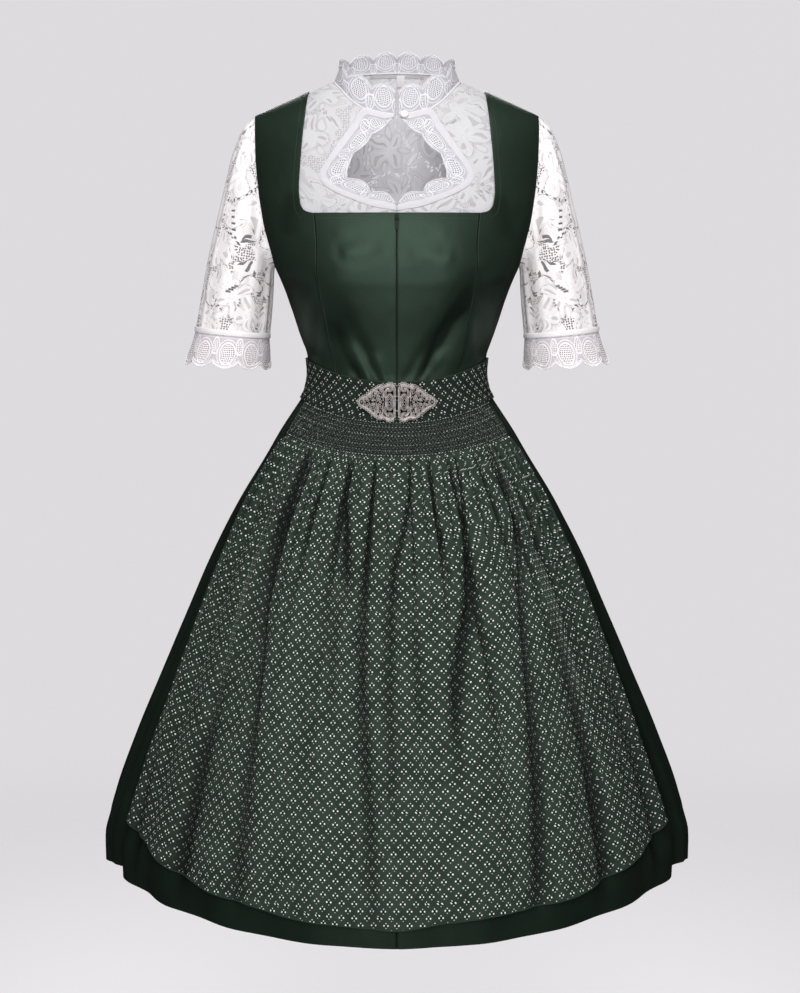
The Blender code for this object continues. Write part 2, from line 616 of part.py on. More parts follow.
def build_blouse_front():
    """Each front runs from the neck and keyhole to the armhole and side seam."""
    neck_x, neck_z = neck_front()
    hole = along_rows(KEYHOLE, keyhole_stations()[KEYHOLE_CORNER:])
    edge_x = np.concatenate([neck_x[:-1], hole["x"], np.zeros(3)])
    edge_z = np.concatenate([neck_z[:-1], hole["z"], [-0.170, -0.215, BLOUSE_HEM]])
    start, start_height = chart(edge_x, edge_z)
    shoulder = np.linspace(1, 0, len(edge_x) - 3) ** 1.15
    end_z = np.array([-0.209, UNDERARM, BLOUSE_HEM])
    end_height = np.concatenate([shoulder, end_z - CHEST_LINE])
    end = np.concatenate([np.full(len(shoulder), HOLE_TURN), armhole_turn(end_z)])
    angle = between(start, end, 4)
    height = between(start_height, end_height, 4)
    outer, inner = layer(dress_form, angle, height, BLOUSE_LIFT, LACE_WALL, top=1)
    sides = "left right first"
    pair("blouse_front", inset(outer, sides), inset(inner, sides), "lace")


def neck_back():
    """The back neck's edge from the shoulder to the centre."""
    turn = np.linspace(0, math.pi / 2, NECK_STEPS)
    return NECK_EDGE["x"][0] * np.cos(turn), NECK_EDGE["z"][0] + 0.0155 * np.sin(turn)


def build_blouse_back():
    """One back, from the neck and shoulders to the armholes, side seams and hem."""
    neck_x, neck_z = neck_back()
    neck_angle, neck_height = chart(neck_x, neck_z, False)
    turn = math.pi / 2
    shoulder = np.linspace(-neck_angle[0], HOLE_TURN, 5)[1:]
    start = np.concatenate([-neck_angle[::-1], shoulder])
    top = np.concatenate([neck_height[::-1], np.ones(4)])
    share = (turn - start) / (turn - HOLE_TURN)
    level = np.array([1.0, 0.86, 0.68, 0.48, 0.26, 0.0, -0.019, -0.035, BLOUSE_HEM - CHEST_LINE])
    end = armhole_turn(CHEST_LINE + np.minimum(level, 0))
    angle = -(turn + (end[:, None] - turn) * share)
    height = np.where(level[:, None] > 0, level[:, None] * top, level[:, None])
    outer, inner = layer(dress_form, angle, height, BLOUSE_LIFT, LACE_WALL, top=1)
    outer = inset(outer, "right first")
    inner = inset(inner, "right first")
    outer = np.concatenate([mirrored(outer[:, :0:-1]), outer], axis=1)
    inner = np.concatenate([mirrored(inner[:, :0:-1]), inner], axis=1)
    wall("blouse_back", outer, inner, "lace")


def build_keyhole():
    """Binding tape round the keyhole, and a scalloped lace trim inside it."""
    rows = along_rows(KEYHOLE, keyhole_stations())
    edge = np.stack([rows["x"], rows["z"]], axis=-1)
    hole = np.stack([rows["hole_x"], rows["hole_z"]], axis=-1)
    reach = np.linalg.norm(hole - edge, axis=-1)
    inward = (hole - edge) / reach[:, None]
    tape = np.minimum(TAPE_WIDTH, reach * 0.62)
    run = np.concatenate([[0], np.cumsum(np.linalg.norm(np.diff(hole, axis=0), axis=-1))])
    share = run / run[-1]
    scallop = np.abs(np.sin(share * TRIM_SCALLOPS * math.pi)) ** 0.7
    trim = np.maximum(reach + (scallop - 0.55) * read(TRIM_RISE, "run", "rise", share), tape + 0.0015)
    bands = {"keyhole_tape": (0 * reach + SEAM_GAP / 2, tape), "keyhole_trim": (tape + SEAM_GAP, trim)}
    for name, offsets in bands.items():
        place = np.stack([edge + inward * offset[:, None] for offset in offsets], axis=1)
        x = np.maximum(place[..., 0], 0.0002)
        angle, height = chart(x, place[..., 1])
        outer, inner = layer(dress_form, angle, height, BLOUSE_LIFT, LACE_WALL, top=1)
        pair(name, outer, inner, "tape" if name == "keyhole_tape" else "lace")


def neck_ring(turn):
    """The neck's edge at the blouse's lift, by the angle round the neck from the centre front."""
    front_x, front_z = neck_front()
    centre = along_rows(KEYHOLE, np.arange(KEYHOLE_CORNER))
    grids = []
    for x, z, ahead in ((np.append(centre["x"], front_x[::-1]), np.append(centre["z"], front_z[::-1]), True),
                        (*neck_back(), False)):
        angle, height = chart(x, z, ahead)
        grids.append(layer(dress_form, angle, height, BLOUSE_LIFT - LACE_WALL / 2, 0, top=1)[0])
    path = np.concatenate([grids[0], grids[1][1:]])
    share = np.linspace(0, 1, 12)[:, None]
    path = np.concatenate([start * (1 - share) + end * share for start, end in zip(path[:-1], path[1:])])
    facing = np.arctan2(path[:, 0], COLLAR_MIDDLE - path[:, 1])
    return np.stack([np.interp(turn, facing, path[:, axis]) for axis in range(3)], axis=-1)


def build_collar():
    """Two halves of a stand collar, with a scalloped top edge."""
    count = COLLAR_SCALLOPS * SCALLOP_STEPS
    turn = np.radians(np.linspace(3, 180, count + 1))
    foot = neck_ring(turn)
    inward = np.stack([-foot[:, 0], COLLAR_MIDDLE - foot[:, 1], 0 * turn], axis=-1)
    inward = inward / np.linalg.norm(inward, axis=-1, keepdims=True) + np.array([0, 0, 0.5])
    foot = foot + inward * COLLAR_CLEAR
    foot[:, 0] = np.maximum(foot[:, 0], 0.0002)
    degrees = np.degrees(turn)
    reach = read(COLLAR_TOP, "turn", "reach", degrees)
    top = np.stack([np.sin(turn) * reach, COLLAR_MIDDLE - np.cos(turn) * reach,
                    read(COLLAR_TOP, "turn", "z", degrees)], axis=-1)
    top[:, 0] = np.maximum(top[:, 0], 0.0002)
    rise = np.abs(np.sin(np.arange(count + 1) / SCALLOP_STEPS * math.pi)) ** 0.8 * SCALLOP_RISE
    climb = (top - foot) / np.linalg.norm(top - foot, axis=-1, keepdims=True)
    grid = np.stack([foot, (foot + top) / 2, top + climb * rise[:, None]])
    along = np.gradient(grid, axis=1)
    normal = np.cross(along, np.broadcast_to(climb, grid.shape))
    normal /= np.linalg.norm(normal, axis=-1, keepdims=True)
    away = grid - np.array([0, COLLAR_MIDDLE, 0])
    facing = np.sum(normal[..., :2] * away[..., :2], axis=-1, keepdims=True)
    normal *= np.where(facing < 0, -1, 1)
    outer = grid + normal * LACE_WALL / 2
    inner = grid - normal * LACE_WALL / 2
    pair("collar", inset(outer, "right"), inset(inner, "right"), "lace")


# ---- sleeves ----

def armhole_edges():
    """The armhole's front and back edges, finely stepped along the bodice's own straight edges,
    with the angle of each point round the hole from its top."""
    edges = []
    share = np.linspace(0, 1, 12)[:, None]
    for seam, ahead in ((FRONT_SEAM, True), (BACK_SEAM, False)):
        edge = bodice_side(seam, ahead, 2)[0][:, -1]
        edge = edge[edge[:, 2] >= UNDERARM - 1e-6][::-1]
        path = np.concatenate([start * (1 - share) + end * share for start, end in zip(edge[:-1], edge[1:])])
        facing = np.arctan2(np.abs(path[:, 1]), path[:, 2] - ARMHOLE_MIDDLE)
        edges.append((facing, path))
    return edges


ARMHOLE = armhole_edges()


def armhole_ring(turn):
    """The armhole's edge drawn in a little, for an angle that starts at the top and goes forward."""
    turn = np.mod(turn, 2 * math.pi)
    ahead = turn <= math.pi
    facing = np.where(ahead, turn, 2 * math.pi - turn)
    stretched = np.arctan2(np.sin(facing) * 0.045, np.cos(facing) * 0.104)
    front, back = [np.stack([np.interp(stretched, at, path[:, axis]) for axis in range(3)], axis=-1)
                   for at, path in ARMHOLE]
    point = np.where(ahead[..., None], front, back)
    away = point - np.array([0, 0, ARMHOLE_MIDDLE])
    length = np.linalg.norm(away[..., 1:], axis=-1)
    drawn = (length - ARMHOLE_CLEAR) / length
    return np.stack([point[..., 0], away[..., 1] * drawn, ARMHOLE_MIDDLE + away[..., 2] * drawn], axis=-1)


def tube(rows, along, turn):
    """A leaning oval tube: outer and inner lines and a half depth, read along its length."""
    line = {name: read(rows, "along", name, along) for name in rows if name != "along"}
    out = np.stack([line["out_x"], 0 * along, line["out_z"]], axis=-1)
    into = np.stack([line["in_x"], 0 * along, line["in_z"]], axis=-1)
    middle = (out + into) / 2
    across = (out - into) / 2
    deep = np.stack([0 * along, -line["depth"], 0 * along], axis=-1)
    return middle + across * np.cos(turn)[..., None] + deep * np.sin(turn)[..., None]


def sleeve_form(turn, along):
    """The sleeve: an oval tube that starts as the armhole's own ring."""
    plain = tube(SLEEVE, along, turn)
    start = armhole_ring(turn)
    gone = np.clip(along / 0.40, 0, 1)
    hold = 1 - gone * gone * (3 - 2 * gone)
    return plain + (start - tube(SLEEVE, 0 * along, turn)) * hold[..., None]


def tube_normal(form, turn, along):
    """Normals pointing away from the tube's own middle line."""
    small = 1e-3
    low = np.clip(along - small, 0, 1)
    high = np.clip(along + small, 0, 1)
    around = form(turn + small, along) - form(turn - small, along)
    down = form(turn, high) - form(turn, low)
    normal = np.cross(around, down)
    normal /= np.linalg.norm(normal, axis=-1, keepdims=True) + 1e-12
    middle = (form(turn, along) + form(turn + math.pi, along)) / 2
    away = np.sum(normal * (form(turn, along) - middle), axis=-1, keepdims=True)
    return normal * np.where(away < 0, -1, 1)


def ladder_cutters(name, lower, upper):
    """Bars of the openwork ladders, as one mesh of boxes standing through the sleeve's wall."""
    form = bmesh.new()
    for along, turn, tilt, bars in zip(*LADDERS.values()):
        if not lower < turn < upper:
            continue
        for bar in range(int(bars)):
            drop = (bar - (bars - 1) / 2) * BAR["pitch"]
            place = np.array([along + drop / 0.30])
            around = np.array([math.radians(turn + tilt * drop / 0.02)])
            centre = sleeve_form(around, place)[0]
            out = tube_normal(sleeve_form, around, place)[0]
            down = sleeve_form(around, place + 0.01)[0] - centre
            down -= out * np.dot(down, out)
            down /= np.linalg.norm(down)
            side = np.cross(out, down)
            cube = bmesh.ops.create_cube(form, size=1)["verts"]
            for corner in cube:
                local = corner.co
                corner.co = (centre + side * local.x * BAR["long"] + down * local.y * BAR["high"]
                             + out * local.z * BAR["deep"])
    bmesh.ops.recalc_face_normals(form, faces=form.faces)
    mesh = bpy.data.meshes.new(name)
    form.to_mesh(mesh)
    form.free()
    cutter = bpy.data.objects.new(name, mesh)
    cutter.hide_render = True
    cutter.display_type = "WIRE"
    bpy.data.collections["cutters"].objects.link(cutter)
    return cutter


def build_sleeves():
    """Each sleeve is a front and a back half, with openwork ladders cut through the lace."""
    along = np.array([0.0, 0.05, 0.14, 0.27, 0.43, 0.60, 0.80, 1.0])
    for name, start, end in (("front", 0, 180), ("back", 180, 360)):
        turn = np.radians(np.linspace(start, end, 11))
        around, down = np.meshgrid(turn, along)
        outer = sleeve_form(around, down)
        normal = tube_normal(sleeve_form, around, down)
        inner = outer - normal * LACE_WALL
        outer = inset(outer, "left right last")
        inner = inset(inner, "left right last")
        cutter = ladder_cutters("ladders_" + name, start, end)
        for side, flip in (("right", 1), ("left", -1)):
            scale = np.array([flip, 1, 1])
            sleeve = wall("sleeve_" + name + "_" + side, outer * scale, inner * scale, "lace")
            tool = cutter
            if flip < 0:
                tool = cutter.copy()
                tool.data = cutter.data.copy()
                for corner in tool.data.vertices:
                    corner.co.x = -corner.co.x
                tool.data.flip_normals()
                tool.name = cutter.name + "_left"
                bpy.data.collections["cutters"].objects.link(tool)
            cut = sleeve.modifiers.new("ladders", "BOOLEAN")
            cut.operation = "DIFFERENCE"
            cut.solver = "EXACT"
            cut.object = tool


def cuff_form(turn, along):
    """The cuff's oval tube."""
    return tube(CUFF, along, turn)


def build_cuffs():
    """Lace edging round each sleeve's end, with a scalloped lower edge."""
    count = CUFF_SCALLOPS * CUFF_STEPS
    turn = np.arange(count) / count * 2 * math.pi
    around, down = np.meshgrid(turn, np.array([0.0, 0.5, 1.0]))
    outer = cuff_form(around, down)
    normal = tube_normal(cuff_form, around, down)
    axis = outer[2] - outer[1]
    axis /= np.linalg.norm(axis, axis=-1, keepdims=True)
    rise = np.abs(np.sin(np.arange(count) / CUFF_STEPS * math.pi)) ** 0.8 * CUFF_SCALLOP
    outer[2] += axis * rise[:, None]
    inner = outer - normal * LACE_WALL
    outer[0] -= np.array([0, 0, SEAM_GAP])
    inner[0] -= np.array([0, 0, SEAM_GAP])
    pair("cuff", outer, inner, "lace", closed=True)


# ---- hard pieces ----

def joined(name, pieces, look):
    """Overlapping meshes made one body by a union, with the cutters applied in turn."""
    base = pieces[0]
    for number, piece in enumerate(pieces[1:]):
        union = base.modifiers.new("union%d" % number, "BOOLEAN")
        union.operation = "UNION"
        union.solver = "EXACT"
        union.object = piece
    bpy.context.view_layer.update()
    graph = bpy.context.evaluated_depsgraph_get()
    mesh = bpy.data.meshes.new_from_object(base.evaluated_get(graph))
    mesh.transform(base.matrix_world)
    for piece in pieces:
        bpy.data.objects.remove(piece)
    mesh.materials.clear()
    mesh.name = name
    return keep(name, mesh, look)


def loose(mesh):
    """A helper object for a mesh, linked so that it can be evaluated."""
    made = bpy.data.objects.new("helper", mesh)
    bpy.data.collections["cutters"].objects.link(made)
    return made


def box(size, centre):
    """A box mesh as a helper object."""
    form = bmesh.new()
    bmesh.ops.create_cube(form, size=1)
    for corner in form.verts:
        corner.co = [corner.co[i] * size[i] + centre[i] for i in range(3)]
    mesh = bpy.data.meshes.new("box")
    form.to_mesh(mesh)
    form.free()
    return loose(mesh)


def rod(radius, length, centre, hole=0):
    """An eight-sided rod along X, or a ring when it has a hole, as a helper object."""
    rings = []
    for size in (radius, hole):
        turn = (np.arange(8) + 0.5) / 8 * 2 * math.pi
        rings.append([(size * math.cos(t), size * math.sin(t)) for t in turn])
    made = flat_outline(rings[0], length, rings[1:] if hole else ())
    for corner in made.data.vertices:
        x, y, z = corner.co
        corner.co = (y + centre[0], -x + centre[1], z + centre[2])
    return made


def dome(radii, centre, rings=6, segments=10):
    """A squashed ball as a helper object."""
    form = bmesh.new()
    bmesh.ops.create_uvsphere(form, u_segments=segments, v_segments=rings, radius=1)
    for corner in form.verts:
        corner.co = [corner.co[i] * radii[i] + centre[i] for i in range(3)]
    mesh = bpy.data.meshes.new("dome")
    form.to_mesh(mesh)
    form.free()
    return loose(mesh)


def flat_outline(points, thick, holes=()):
    """A plate from closed outlines in the XZ plane, as a helper mesh object."""
    curve = bpy.data.curves.new("outline", "CURVE")
    curve.dimensions = "2D"
    curve.fill_mode = "BOTH"
    curve.extrude = thick / 2
    for ring in (points, *holes):
        spline = curve.splines.new("POLY")
        spline.points.add(len(ring) - 1)
        for knot, (u, w) in zip(spline.points, ring):
            knot.co = (u, w, 0, 1)
        spline.use_cyclic_u = True
    made = bpy.data.objects.new("outline", curve)
    bpy.data.collections["cutters"].objects.link(made)
    bpy.context.view_layer.update()
    mesh = bpy.data.meshes.new_from_object(made.evaluated_get(bpy.context.evaluated_depsgraph_get()))
    bpy.data.objects.remove(made)
    form = bmesh.new()
    form.from_mesh(mesh)
    bmesh.ops.remove_doubles(form, verts=form.verts, dist=1e-6)
    for corner in form.verts:
        corner.co = (corner.co.x, -corner.co.z, corner.co.y)
    bmesh.ops.recalc_face_normals(form, faces=form.faces)
    form.to_mesh(mesh)
    form.free()
    return loose(mesh)


def build_clasp():
    """Two mirrored halves of a filigree clasp: a lobed plate with an oval boss and a tip bead,
    leaning sideways and back so that it rests on the waistband."""
    top = list(zip(CLASP_EDGE["u"], CLASP_EDGE["w"]))
    foot = [(u, -w) for u, w in top[-2:0:-1]]
    turn, lean = math.radians(CLASP["turn"]), math.radians(CLASP["lean"])
    out = np.array([math.sin(turn) * math.cos(lean), -math.cos(turn) * math.cos(lean), math.sin(lean)])
    along = np.array([math.cos(turn), math.sin(turn), 0])
    up = np.cross(along, -out)
    up *= np.sign(up[2])
    around, level = np.meshgrid(np.linspace(1.0, math.pi / 2, 40), np.linspace(BELT_TOP, BELT_FOOT, 40))
    belt, _ = layer(dress_form, around, level - CHEST_LINE, BELT_LIFT, BELT_WALL)
    middle = np.array([CLASP["gap"] / 2, belt[0, -1, 1], CLASP["z"]])
    away = belt - middle
    near = (np.abs(away @ up) < 0.026) & (away @ along < 0.053)
    rest = np.max((away @ out)[near]) + SEAM_GAP + CLASP["thick"] / 2
    for side, flip in (("right", 1), ("left", -1)):
        face = -CLASP["thick"] / 2
        plate = flat_outline(top + foot, CLASP["thick"])
        boss = dome((BOSS["wide"], BOSS["deep"], BOSS["tall"]), (BOSS["u"], face, 0), 5, 8)
        bead = dome((TIP_BEAD["wide"], TIP_BEAD["deep"], TIP_BEAD["tall"]), (TIP_BEAD["u"], face, 0), 4, 8)
        made = joined("clasp_" + side, [plate, boss, bead], "silver")
        form = bmesh.new()
        form.from_mesh(made.data)
        for corner in form.verts:
            u, v, w = corner.co
            corner.co = (middle + along * u + up * w + out * (rest - v)) * np.array([flip, 1, 1])
        if flip < 0:
            bmesh.ops.reverse_faces(form, faces=form.faces)
        form.to_mesh(made.data)
        form.free()


def front_frame(x, z, lift):
    """A place on the dress form's front, its outward direction and its downward direction."""
    angle, height = chart(np.array(x), np.array(z))
    point = dress_form(angle, height)
    normal = outward(dress_form, angle, height, top=1)
    down = dress_form(angle, height - 0.002) - point
    down -= normal * np.dot(down, normal)
    return point + normal * lift, normal, down / np.linalg.norm(down)


def stand_up(made, origin, normal, down):
    """Turns a piece made with -Y outwards and -Z downwards onto the dress form's front."""
    side = np.cross(normal, down)
    if side[0] < 0:
        side = -side
    form = bmesh.new()
    form.from_mesh(made.data)
    for corner in form.verts:
        x, y, z = corner.co
        corner.co = (side * x - normal * y - down * z) + np.zeros(3)
    form.to_mesh(made.data)
    form.free()
    made.location = origin


def build_zip():
    """Slider with two ears and a bar, and the pull tab that swings on the bar."""
    origin, normal, down = front_frame(0.0, SLIDER["z"], 0)
    front = -SEAM_GAP - SLIDER["thick"]
    bar_y = front - PULL["eye"] - SEAM_GAP
    bar_z = SLIDER["bar_drop"]
    reach = abs(bar_y - front) + SLIDER["bar"] + SLIDER["bite"]
    ear_x = SLIDER["wide"] / 2 - SLIDER["ear"] / 2
    pieces = [box((SLIDER["wide"], SLIDER["thick"], SLIDER["tall"]), (0, front + SLIDER["thick"] / 2, 0))]
    for flip in (1, -1):
        size = (SLIDER["ear"], reach + SLIDER["bite"], SLIDER["ear_tall"])
        pieces.append(box(size, (flip * ear_x, front + (SLIDER["bite"] - reach) / 2, bar_z)))
    pieces.append(rod(SLIDER["bar"], SLIDER["wide"] - SLIDER["ear"], (0, bar_y, bar_z)))
    slider = joined("zip_slider", pieces, "zip")
    stand_up(slider, origin, normal, down)
    half = PULL["wide"] / 2
    neck = PULL["neck"] / 2
    length = PULL["long"]
    corner = PULL["corner"]
    right = [(neck, -PULL["neck_top"]), (neck, -PULL["neck_foot"]), (half, -PULL["shoulder"]),
             (half, -length + corner), (half - corner, -length)]
    edge = right + [(-x, z) for x, z in right[::-1]]
    eye = rod(PULL["eye"], PULL["neck"], (0, 0, 0), PULL["hole"])
    plate = flat_outline(edge, PULL["thick"])
    pull = joined("zip_pull", [eye, plate], "zip")
    stand_up(pull, origin - normal * bar_y - down * bar_z, normal, down)


def build_button():
    """The pearl button that closes the collar."""
    origin, normal, down = front_frame(BUTTON["x"], BUTTON["z"], 0)
    lift = BLOUSE_LIFT + SEAM_GAP + BUTTON["radius"] * BUTTON["flat"] + BUTTON["clear"]
    ball = dome((BUTTON["radius"], BUTTON["radius"] * BUTTON["flat"], BUTTON["radius"]), (0, 0, 0), 8, 14)
    made = joined("pearl_button", [ball], "pearl")
    stand_up(made, origin + normal * lift, normal, down)


def build_label():
    """A small blank tab inside the back of the neck."""
    z = np.array([LABEL["top"], LABEL["foot"]])
    x = LABEL["x"] + np.array([-0.5, 0, 0.5]) * LABEL["wide"]
    across, level = np.meshgrid(x, z)
    angle, height = chart(across, level, False)
    lift = BLOUSE_LIFT - LACE_WALL - LABEL["clear"]
    outer, inner = layer(dress_form, angle, height, lift, 0.0006, top=1)
    wall("neck_tab", outer, inner, "tape")


def build():
    """Clears the scene and makes every piece."""
    for old in list(bpy.data.objects):
        bpy.data.objects.remove(old, do_unlink=True)
    for name in ("dirndl_set", "cutters"):
        group = bpy.data.collections.new(name)
        bpy.context.scene.collection.children.link(group)
    build_bodice()
    build_skirt()
    build_smocked_band()
    build_apron()
    build_waistband()
    build_blouse_front()
    build_blouse_back()
    build_keyhole()
    build_collar()
    build_sleeves()
    build_cuffs()
    build_clasp()
    build_zip()
    build_button()
    build_label()


build()
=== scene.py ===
# Looks of a dirndl set: sateen bodice and skirt, printed half apron with a smocked band,
# lace blouse with a stand collar, filigree clasp, zip and pearl button. Metres, +Z up, front -Y.
import math

import bmesh
import bpy
import numpy as np
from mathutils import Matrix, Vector


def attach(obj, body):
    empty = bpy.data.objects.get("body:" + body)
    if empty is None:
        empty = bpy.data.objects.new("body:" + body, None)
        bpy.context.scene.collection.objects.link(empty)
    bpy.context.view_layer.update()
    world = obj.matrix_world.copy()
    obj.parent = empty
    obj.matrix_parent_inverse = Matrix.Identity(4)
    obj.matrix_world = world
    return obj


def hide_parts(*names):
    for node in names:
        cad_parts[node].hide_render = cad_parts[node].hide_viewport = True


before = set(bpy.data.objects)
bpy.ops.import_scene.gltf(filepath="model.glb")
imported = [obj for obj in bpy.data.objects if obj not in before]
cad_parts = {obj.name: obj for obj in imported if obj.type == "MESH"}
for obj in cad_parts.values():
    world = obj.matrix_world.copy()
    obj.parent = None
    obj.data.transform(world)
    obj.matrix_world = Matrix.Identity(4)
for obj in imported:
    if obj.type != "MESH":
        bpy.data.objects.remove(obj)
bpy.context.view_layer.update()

scene = bpy.context.scene
mm = 0.001
halves = (("right", 1), ("left", -1))


def table(names, rows):
    # columns by name, from rows of numbers; a column marked .mm is given in millimetres
    columns = zip(names.split(), zip(*rows))
    return {name.split(".")[0]: np.array(column) / (1000 if "." in name else 1) for name, column in columns}


def readTable(rows, column, at):
    # Hermite curve over the first column, slopes = harmonic mean of the two neighbouring rises
    x, y = next(iter(rows.values())), rows[column]
    at = np.clip(at, x[0], x[-1])
    step = np.diff(x)
    rise = np.diff(y) / step
    both = rise[:-1] * rise[1:]
    middle = np.where(both > 0, 2 * both / (rise[:-1] + rise[1:] + 1e-300), 0)
    slope = np.concatenate(([rise[0]], middle, [rise[-1]]))
    i = np.clip(np.searchsorted(x, at, side="right") - 1, 0, len(step) - 1)
    s = (at - x[i]) / step[i]
    ends = y[i] * (1 + 2 * s) * (1 - s) ** 2 + y[i + 1] * s * s * (3 - 2 * s)
    return ends + step[i] * (slope[i] * s * (1 - s) ** 2 - slope[i + 1] * s * s * (1 - s))


def pack(*parts):
    # coordinates side by side along a new last axis
    return np.stack(parts, axis=-1)


def span(vector):
    # length over the last axis
    return np.linalg.norm(vector, axis=-1)


def unit(vector):
    # vector / its length
    return vector / (span(vector)[..., None] + 1e-12)


def follow(path, run, at):
    # the path's coordinates at those lengths along it
    return pack(*(np.interp(at, run, column) for column in path.T))


def signedPower(value, power):
    # sign(value) * |value| ^ power
    return np.sign(value) * np.abs(value) ** power


def smoothStep(low, high, value):
    # 0 below low, 1 above high, 3t^2 - 2t^3 between
    t = np.clip((value - low) / (high - low), 0, 1)
    return t * t * (3 - 2 * t)


figure = {"chest": -0.19, "underarm": -0.225, "waistDip": 0.0275, "backSlope": 2.2, "holeTurn": 0.278}
bust = {"x": 0.084, "z": -0.238, "wide": 0.05, "tall": 0.055, "rise": 0.008}
girth = table("height.mm half.mm front.mm back.mm square", (
    (-1057, 404, 418, 414, 1.9), (-1019, 405, 416, 412, 1.9), (-983, 397, 408, 404, 1.91),
    (-895, 366.5, 372, 368, 1.95), (-808, 332, 331, 327, 1.99), (-721, 297, 291, 286, 2.02),
    (-635, 261.5, 247.5, 242.1, 2.04), (-549, 219, 201.3, 194.6, 2.07), (-482, 180, 158.8, 150.8, 2.1),
    (-448, 160.8, 138, 129.2, 2.12), (-414, 139.5, 111, 104, 2.15), (-404.5, 133.3, 104, 97, 2.16),
    (-390, 126.5, 99, 90, 2.18), (-370, 123.6, 97.5, 87.5, 2.2), (-347.5, 125, 99, 88.5, 2.2),
    (-325.6, 132, 105.5, 91, 2.24), (-300, 140.5, 114.5, 94.5, 2.3), (-269, 150.5, 125.5, 98.5, 2.36),
    (-240, 161.5, 132.5, 101.5, 2.44), (-215.6, 172.5, 134.5, 103.5, 2.5),
    (-190, 181.5, 134.5, 104.5, 2.5), (-165, 188, 134.5, 104.5, 2.5), (-120, 195, 134.5, 104.5, 2.5),
    (-80, 199, 134.5, 104.5, 2.5), (-16, 201.5, 134.5, 104.5, 2.5), (130, 203, 134.5, 104.5, 2.5),
))
dipShare = table("height.mm share", (
    (-1000, 0), (-750, 0.35), (-550, 0.85), (-480, 1), (-345, 1), (-300, 0.5), (-255, 0),
))
ridge = table("x.mm front.mm back.mm", (
    (0, 36, 125), (30, 35.8, 112), (60, 35.2, 70), (88, 32.5, 32.5), (121, 18, 18), (160, 0, 0),
    (195, -16, -16), (215, -25.2, -25.2),
))
slopeTable = table("x front", ((0, 1.36), (0.06, 1.44), (0.12, 1.76), (0.2, 2)))


def dressForm(angle, height):
    # x = signed cos^(2/square) * half width, y = -signed sin^(2/square) * depth * curl, where the
    # height is metres below the chest line, or above it the share of the way to the shoulder ridge
    across, deep = np.cos(angle), np.sin(angle)
    ahead = deep >= 0
    below = figure["chest"] + np.minimum(height, 0)
    share = np.sin(np.clip(height, 0, 1) * math.pi / 2)
    level = below
    for _ in range(6):
        square = readTable(girth, "square", level)
        x = signedPower(across, 2 / square) * readTable(girth, "half", level)
        side = np.abs(x)
        top = np.where(ahead, readTable(ridge, "front", side), readTable(ridge, "back", side))
        level = np.where(height > 0, figure["chest"] + (top - figure["chest"]) * share, below)
    steep = readTable(slopeTable, "front", side)
    power = np.where(ahead, steep + (2 - steep) * (1 - share), figure["backSlope"])
    curl = np.clip(1 - share ** power, 0, 1) ** (1 / power)
    front, back = readTable(girth, "front", level), readTable(girth, "back", level)
    y = -signedPower(deep, 2 / square) * np.where(ahead, front, back) * curl
    dip = figure["waistDip"] * np.clip(deep, 0, 1) ** 2 * readTable(dipShare, "share", level)
    z = np.where(height > 0, level, below - dip)
    apart = ((side - bust["x"]) / bust["wide"]) ** 2 + ((level - bust["z"]) / bust["tall"]) ** 2
    y = y - np.where(ahead, bust["rise"] * np.exp(-apart) * np.clip(deep * 2, 0, 1), 0)
    return pack(x, y, z)


def chart(x, z, ahead=True):
    # the form's angle and height at a place seen from the front or the back
    x, z = np.asarray(x, float), np.asarray(z, float)
    top = readTable(ridge, "front" if ahead else "back", np.abs(x))
    share = np.clip((z - figure["chest"]) / (top - figure["chest"]), 0, 1)
    height = np.where(z > figure["chest"], np.arcsin(share) * 2 / math.pi, z - figure["chest"])
    half = readTable(girth, "half", z)
    square = readTable(girth, "square", z)
    angle = np.arccos(np.clip(signedPower(x / half, square / 2), -1, 1))
    return (angle if ahead else -angle), height


def outward(surface, angle, height, top=None):
    # normal = (step round) x (step up), turned away from the middle line
    small = 1e-3
    upper = height + small if top is None else np.minimum(height + small, top)
    along = surface(angle + small, height) - surface(angle - small, height)
    up = surface(angle, upper) - surface(angle, height - small)
    normal = unit(np.cross(along, up))
    middle = surface(angle, height) * [1, 1, 0]
    facing = np.sum(normal * middle, axis=-1, keepdims=True)
    return normal * np.where(facing < 0, -1, 1)


def onForm(angle, height, surface=dressForm, top=1):
    # the surface's points and outward normals
    return surface(angle, height), outward(surface, angle, height, top)


skirtCut = {"waves": 22, "apronLift": 0.003, "beltLift": 0.0028}
waves = table("height.mm depth.mm", (
    (-1057, 6.2), (-900, 5.2), (-720, 3.4), (-600, 2), (-500, 0.6), (-440, 0),
))
calmWaves = table("height.mm share", ((-1057, 0.6), (-960, 0.45), (-820, 0)))
swing = table("angle share", (
    (-90, 0), (-45, 0.6), (-14, 2.5), (0, 0.7), (9, 0), (22, -0.3), (45, -0.1), (90, 0),
))
hemRise = table("angle rise.mm", ((0, 0), (20, 1), (40, 5), (60, 8), (75, 5), (90, 3), (130, 1), (180, 0)))


def skirtForm(angle, height):
    # rings of the figure + waves of cos(22 angle) that deepen towards the hem
    point = dressForm(angle, height - figure["chest"])
    uneven = 1 + 0.42 * np.cos(2 * angle) + 0.12 * np.sin(3 * angle + 0.5) + 0.08 * np.sin(7 * angle)
    lean = readTable(swing, "share", np.degrees(np.arcsin(np.clip(np.sin(angle), -1, 1))))
    calm = 1 - smoothStep(0.2, 0.45, np.abs(np.sin(angle))) * readTable(calmWaves, "share", height)
    wave = lean - np.cos(skirtCut["waves"] * angle) * uneven * calm
    wave = wave * readTable(waves, "depth", height)
    return point + unit(point * [1, 1, 0]) * wave[..., None]


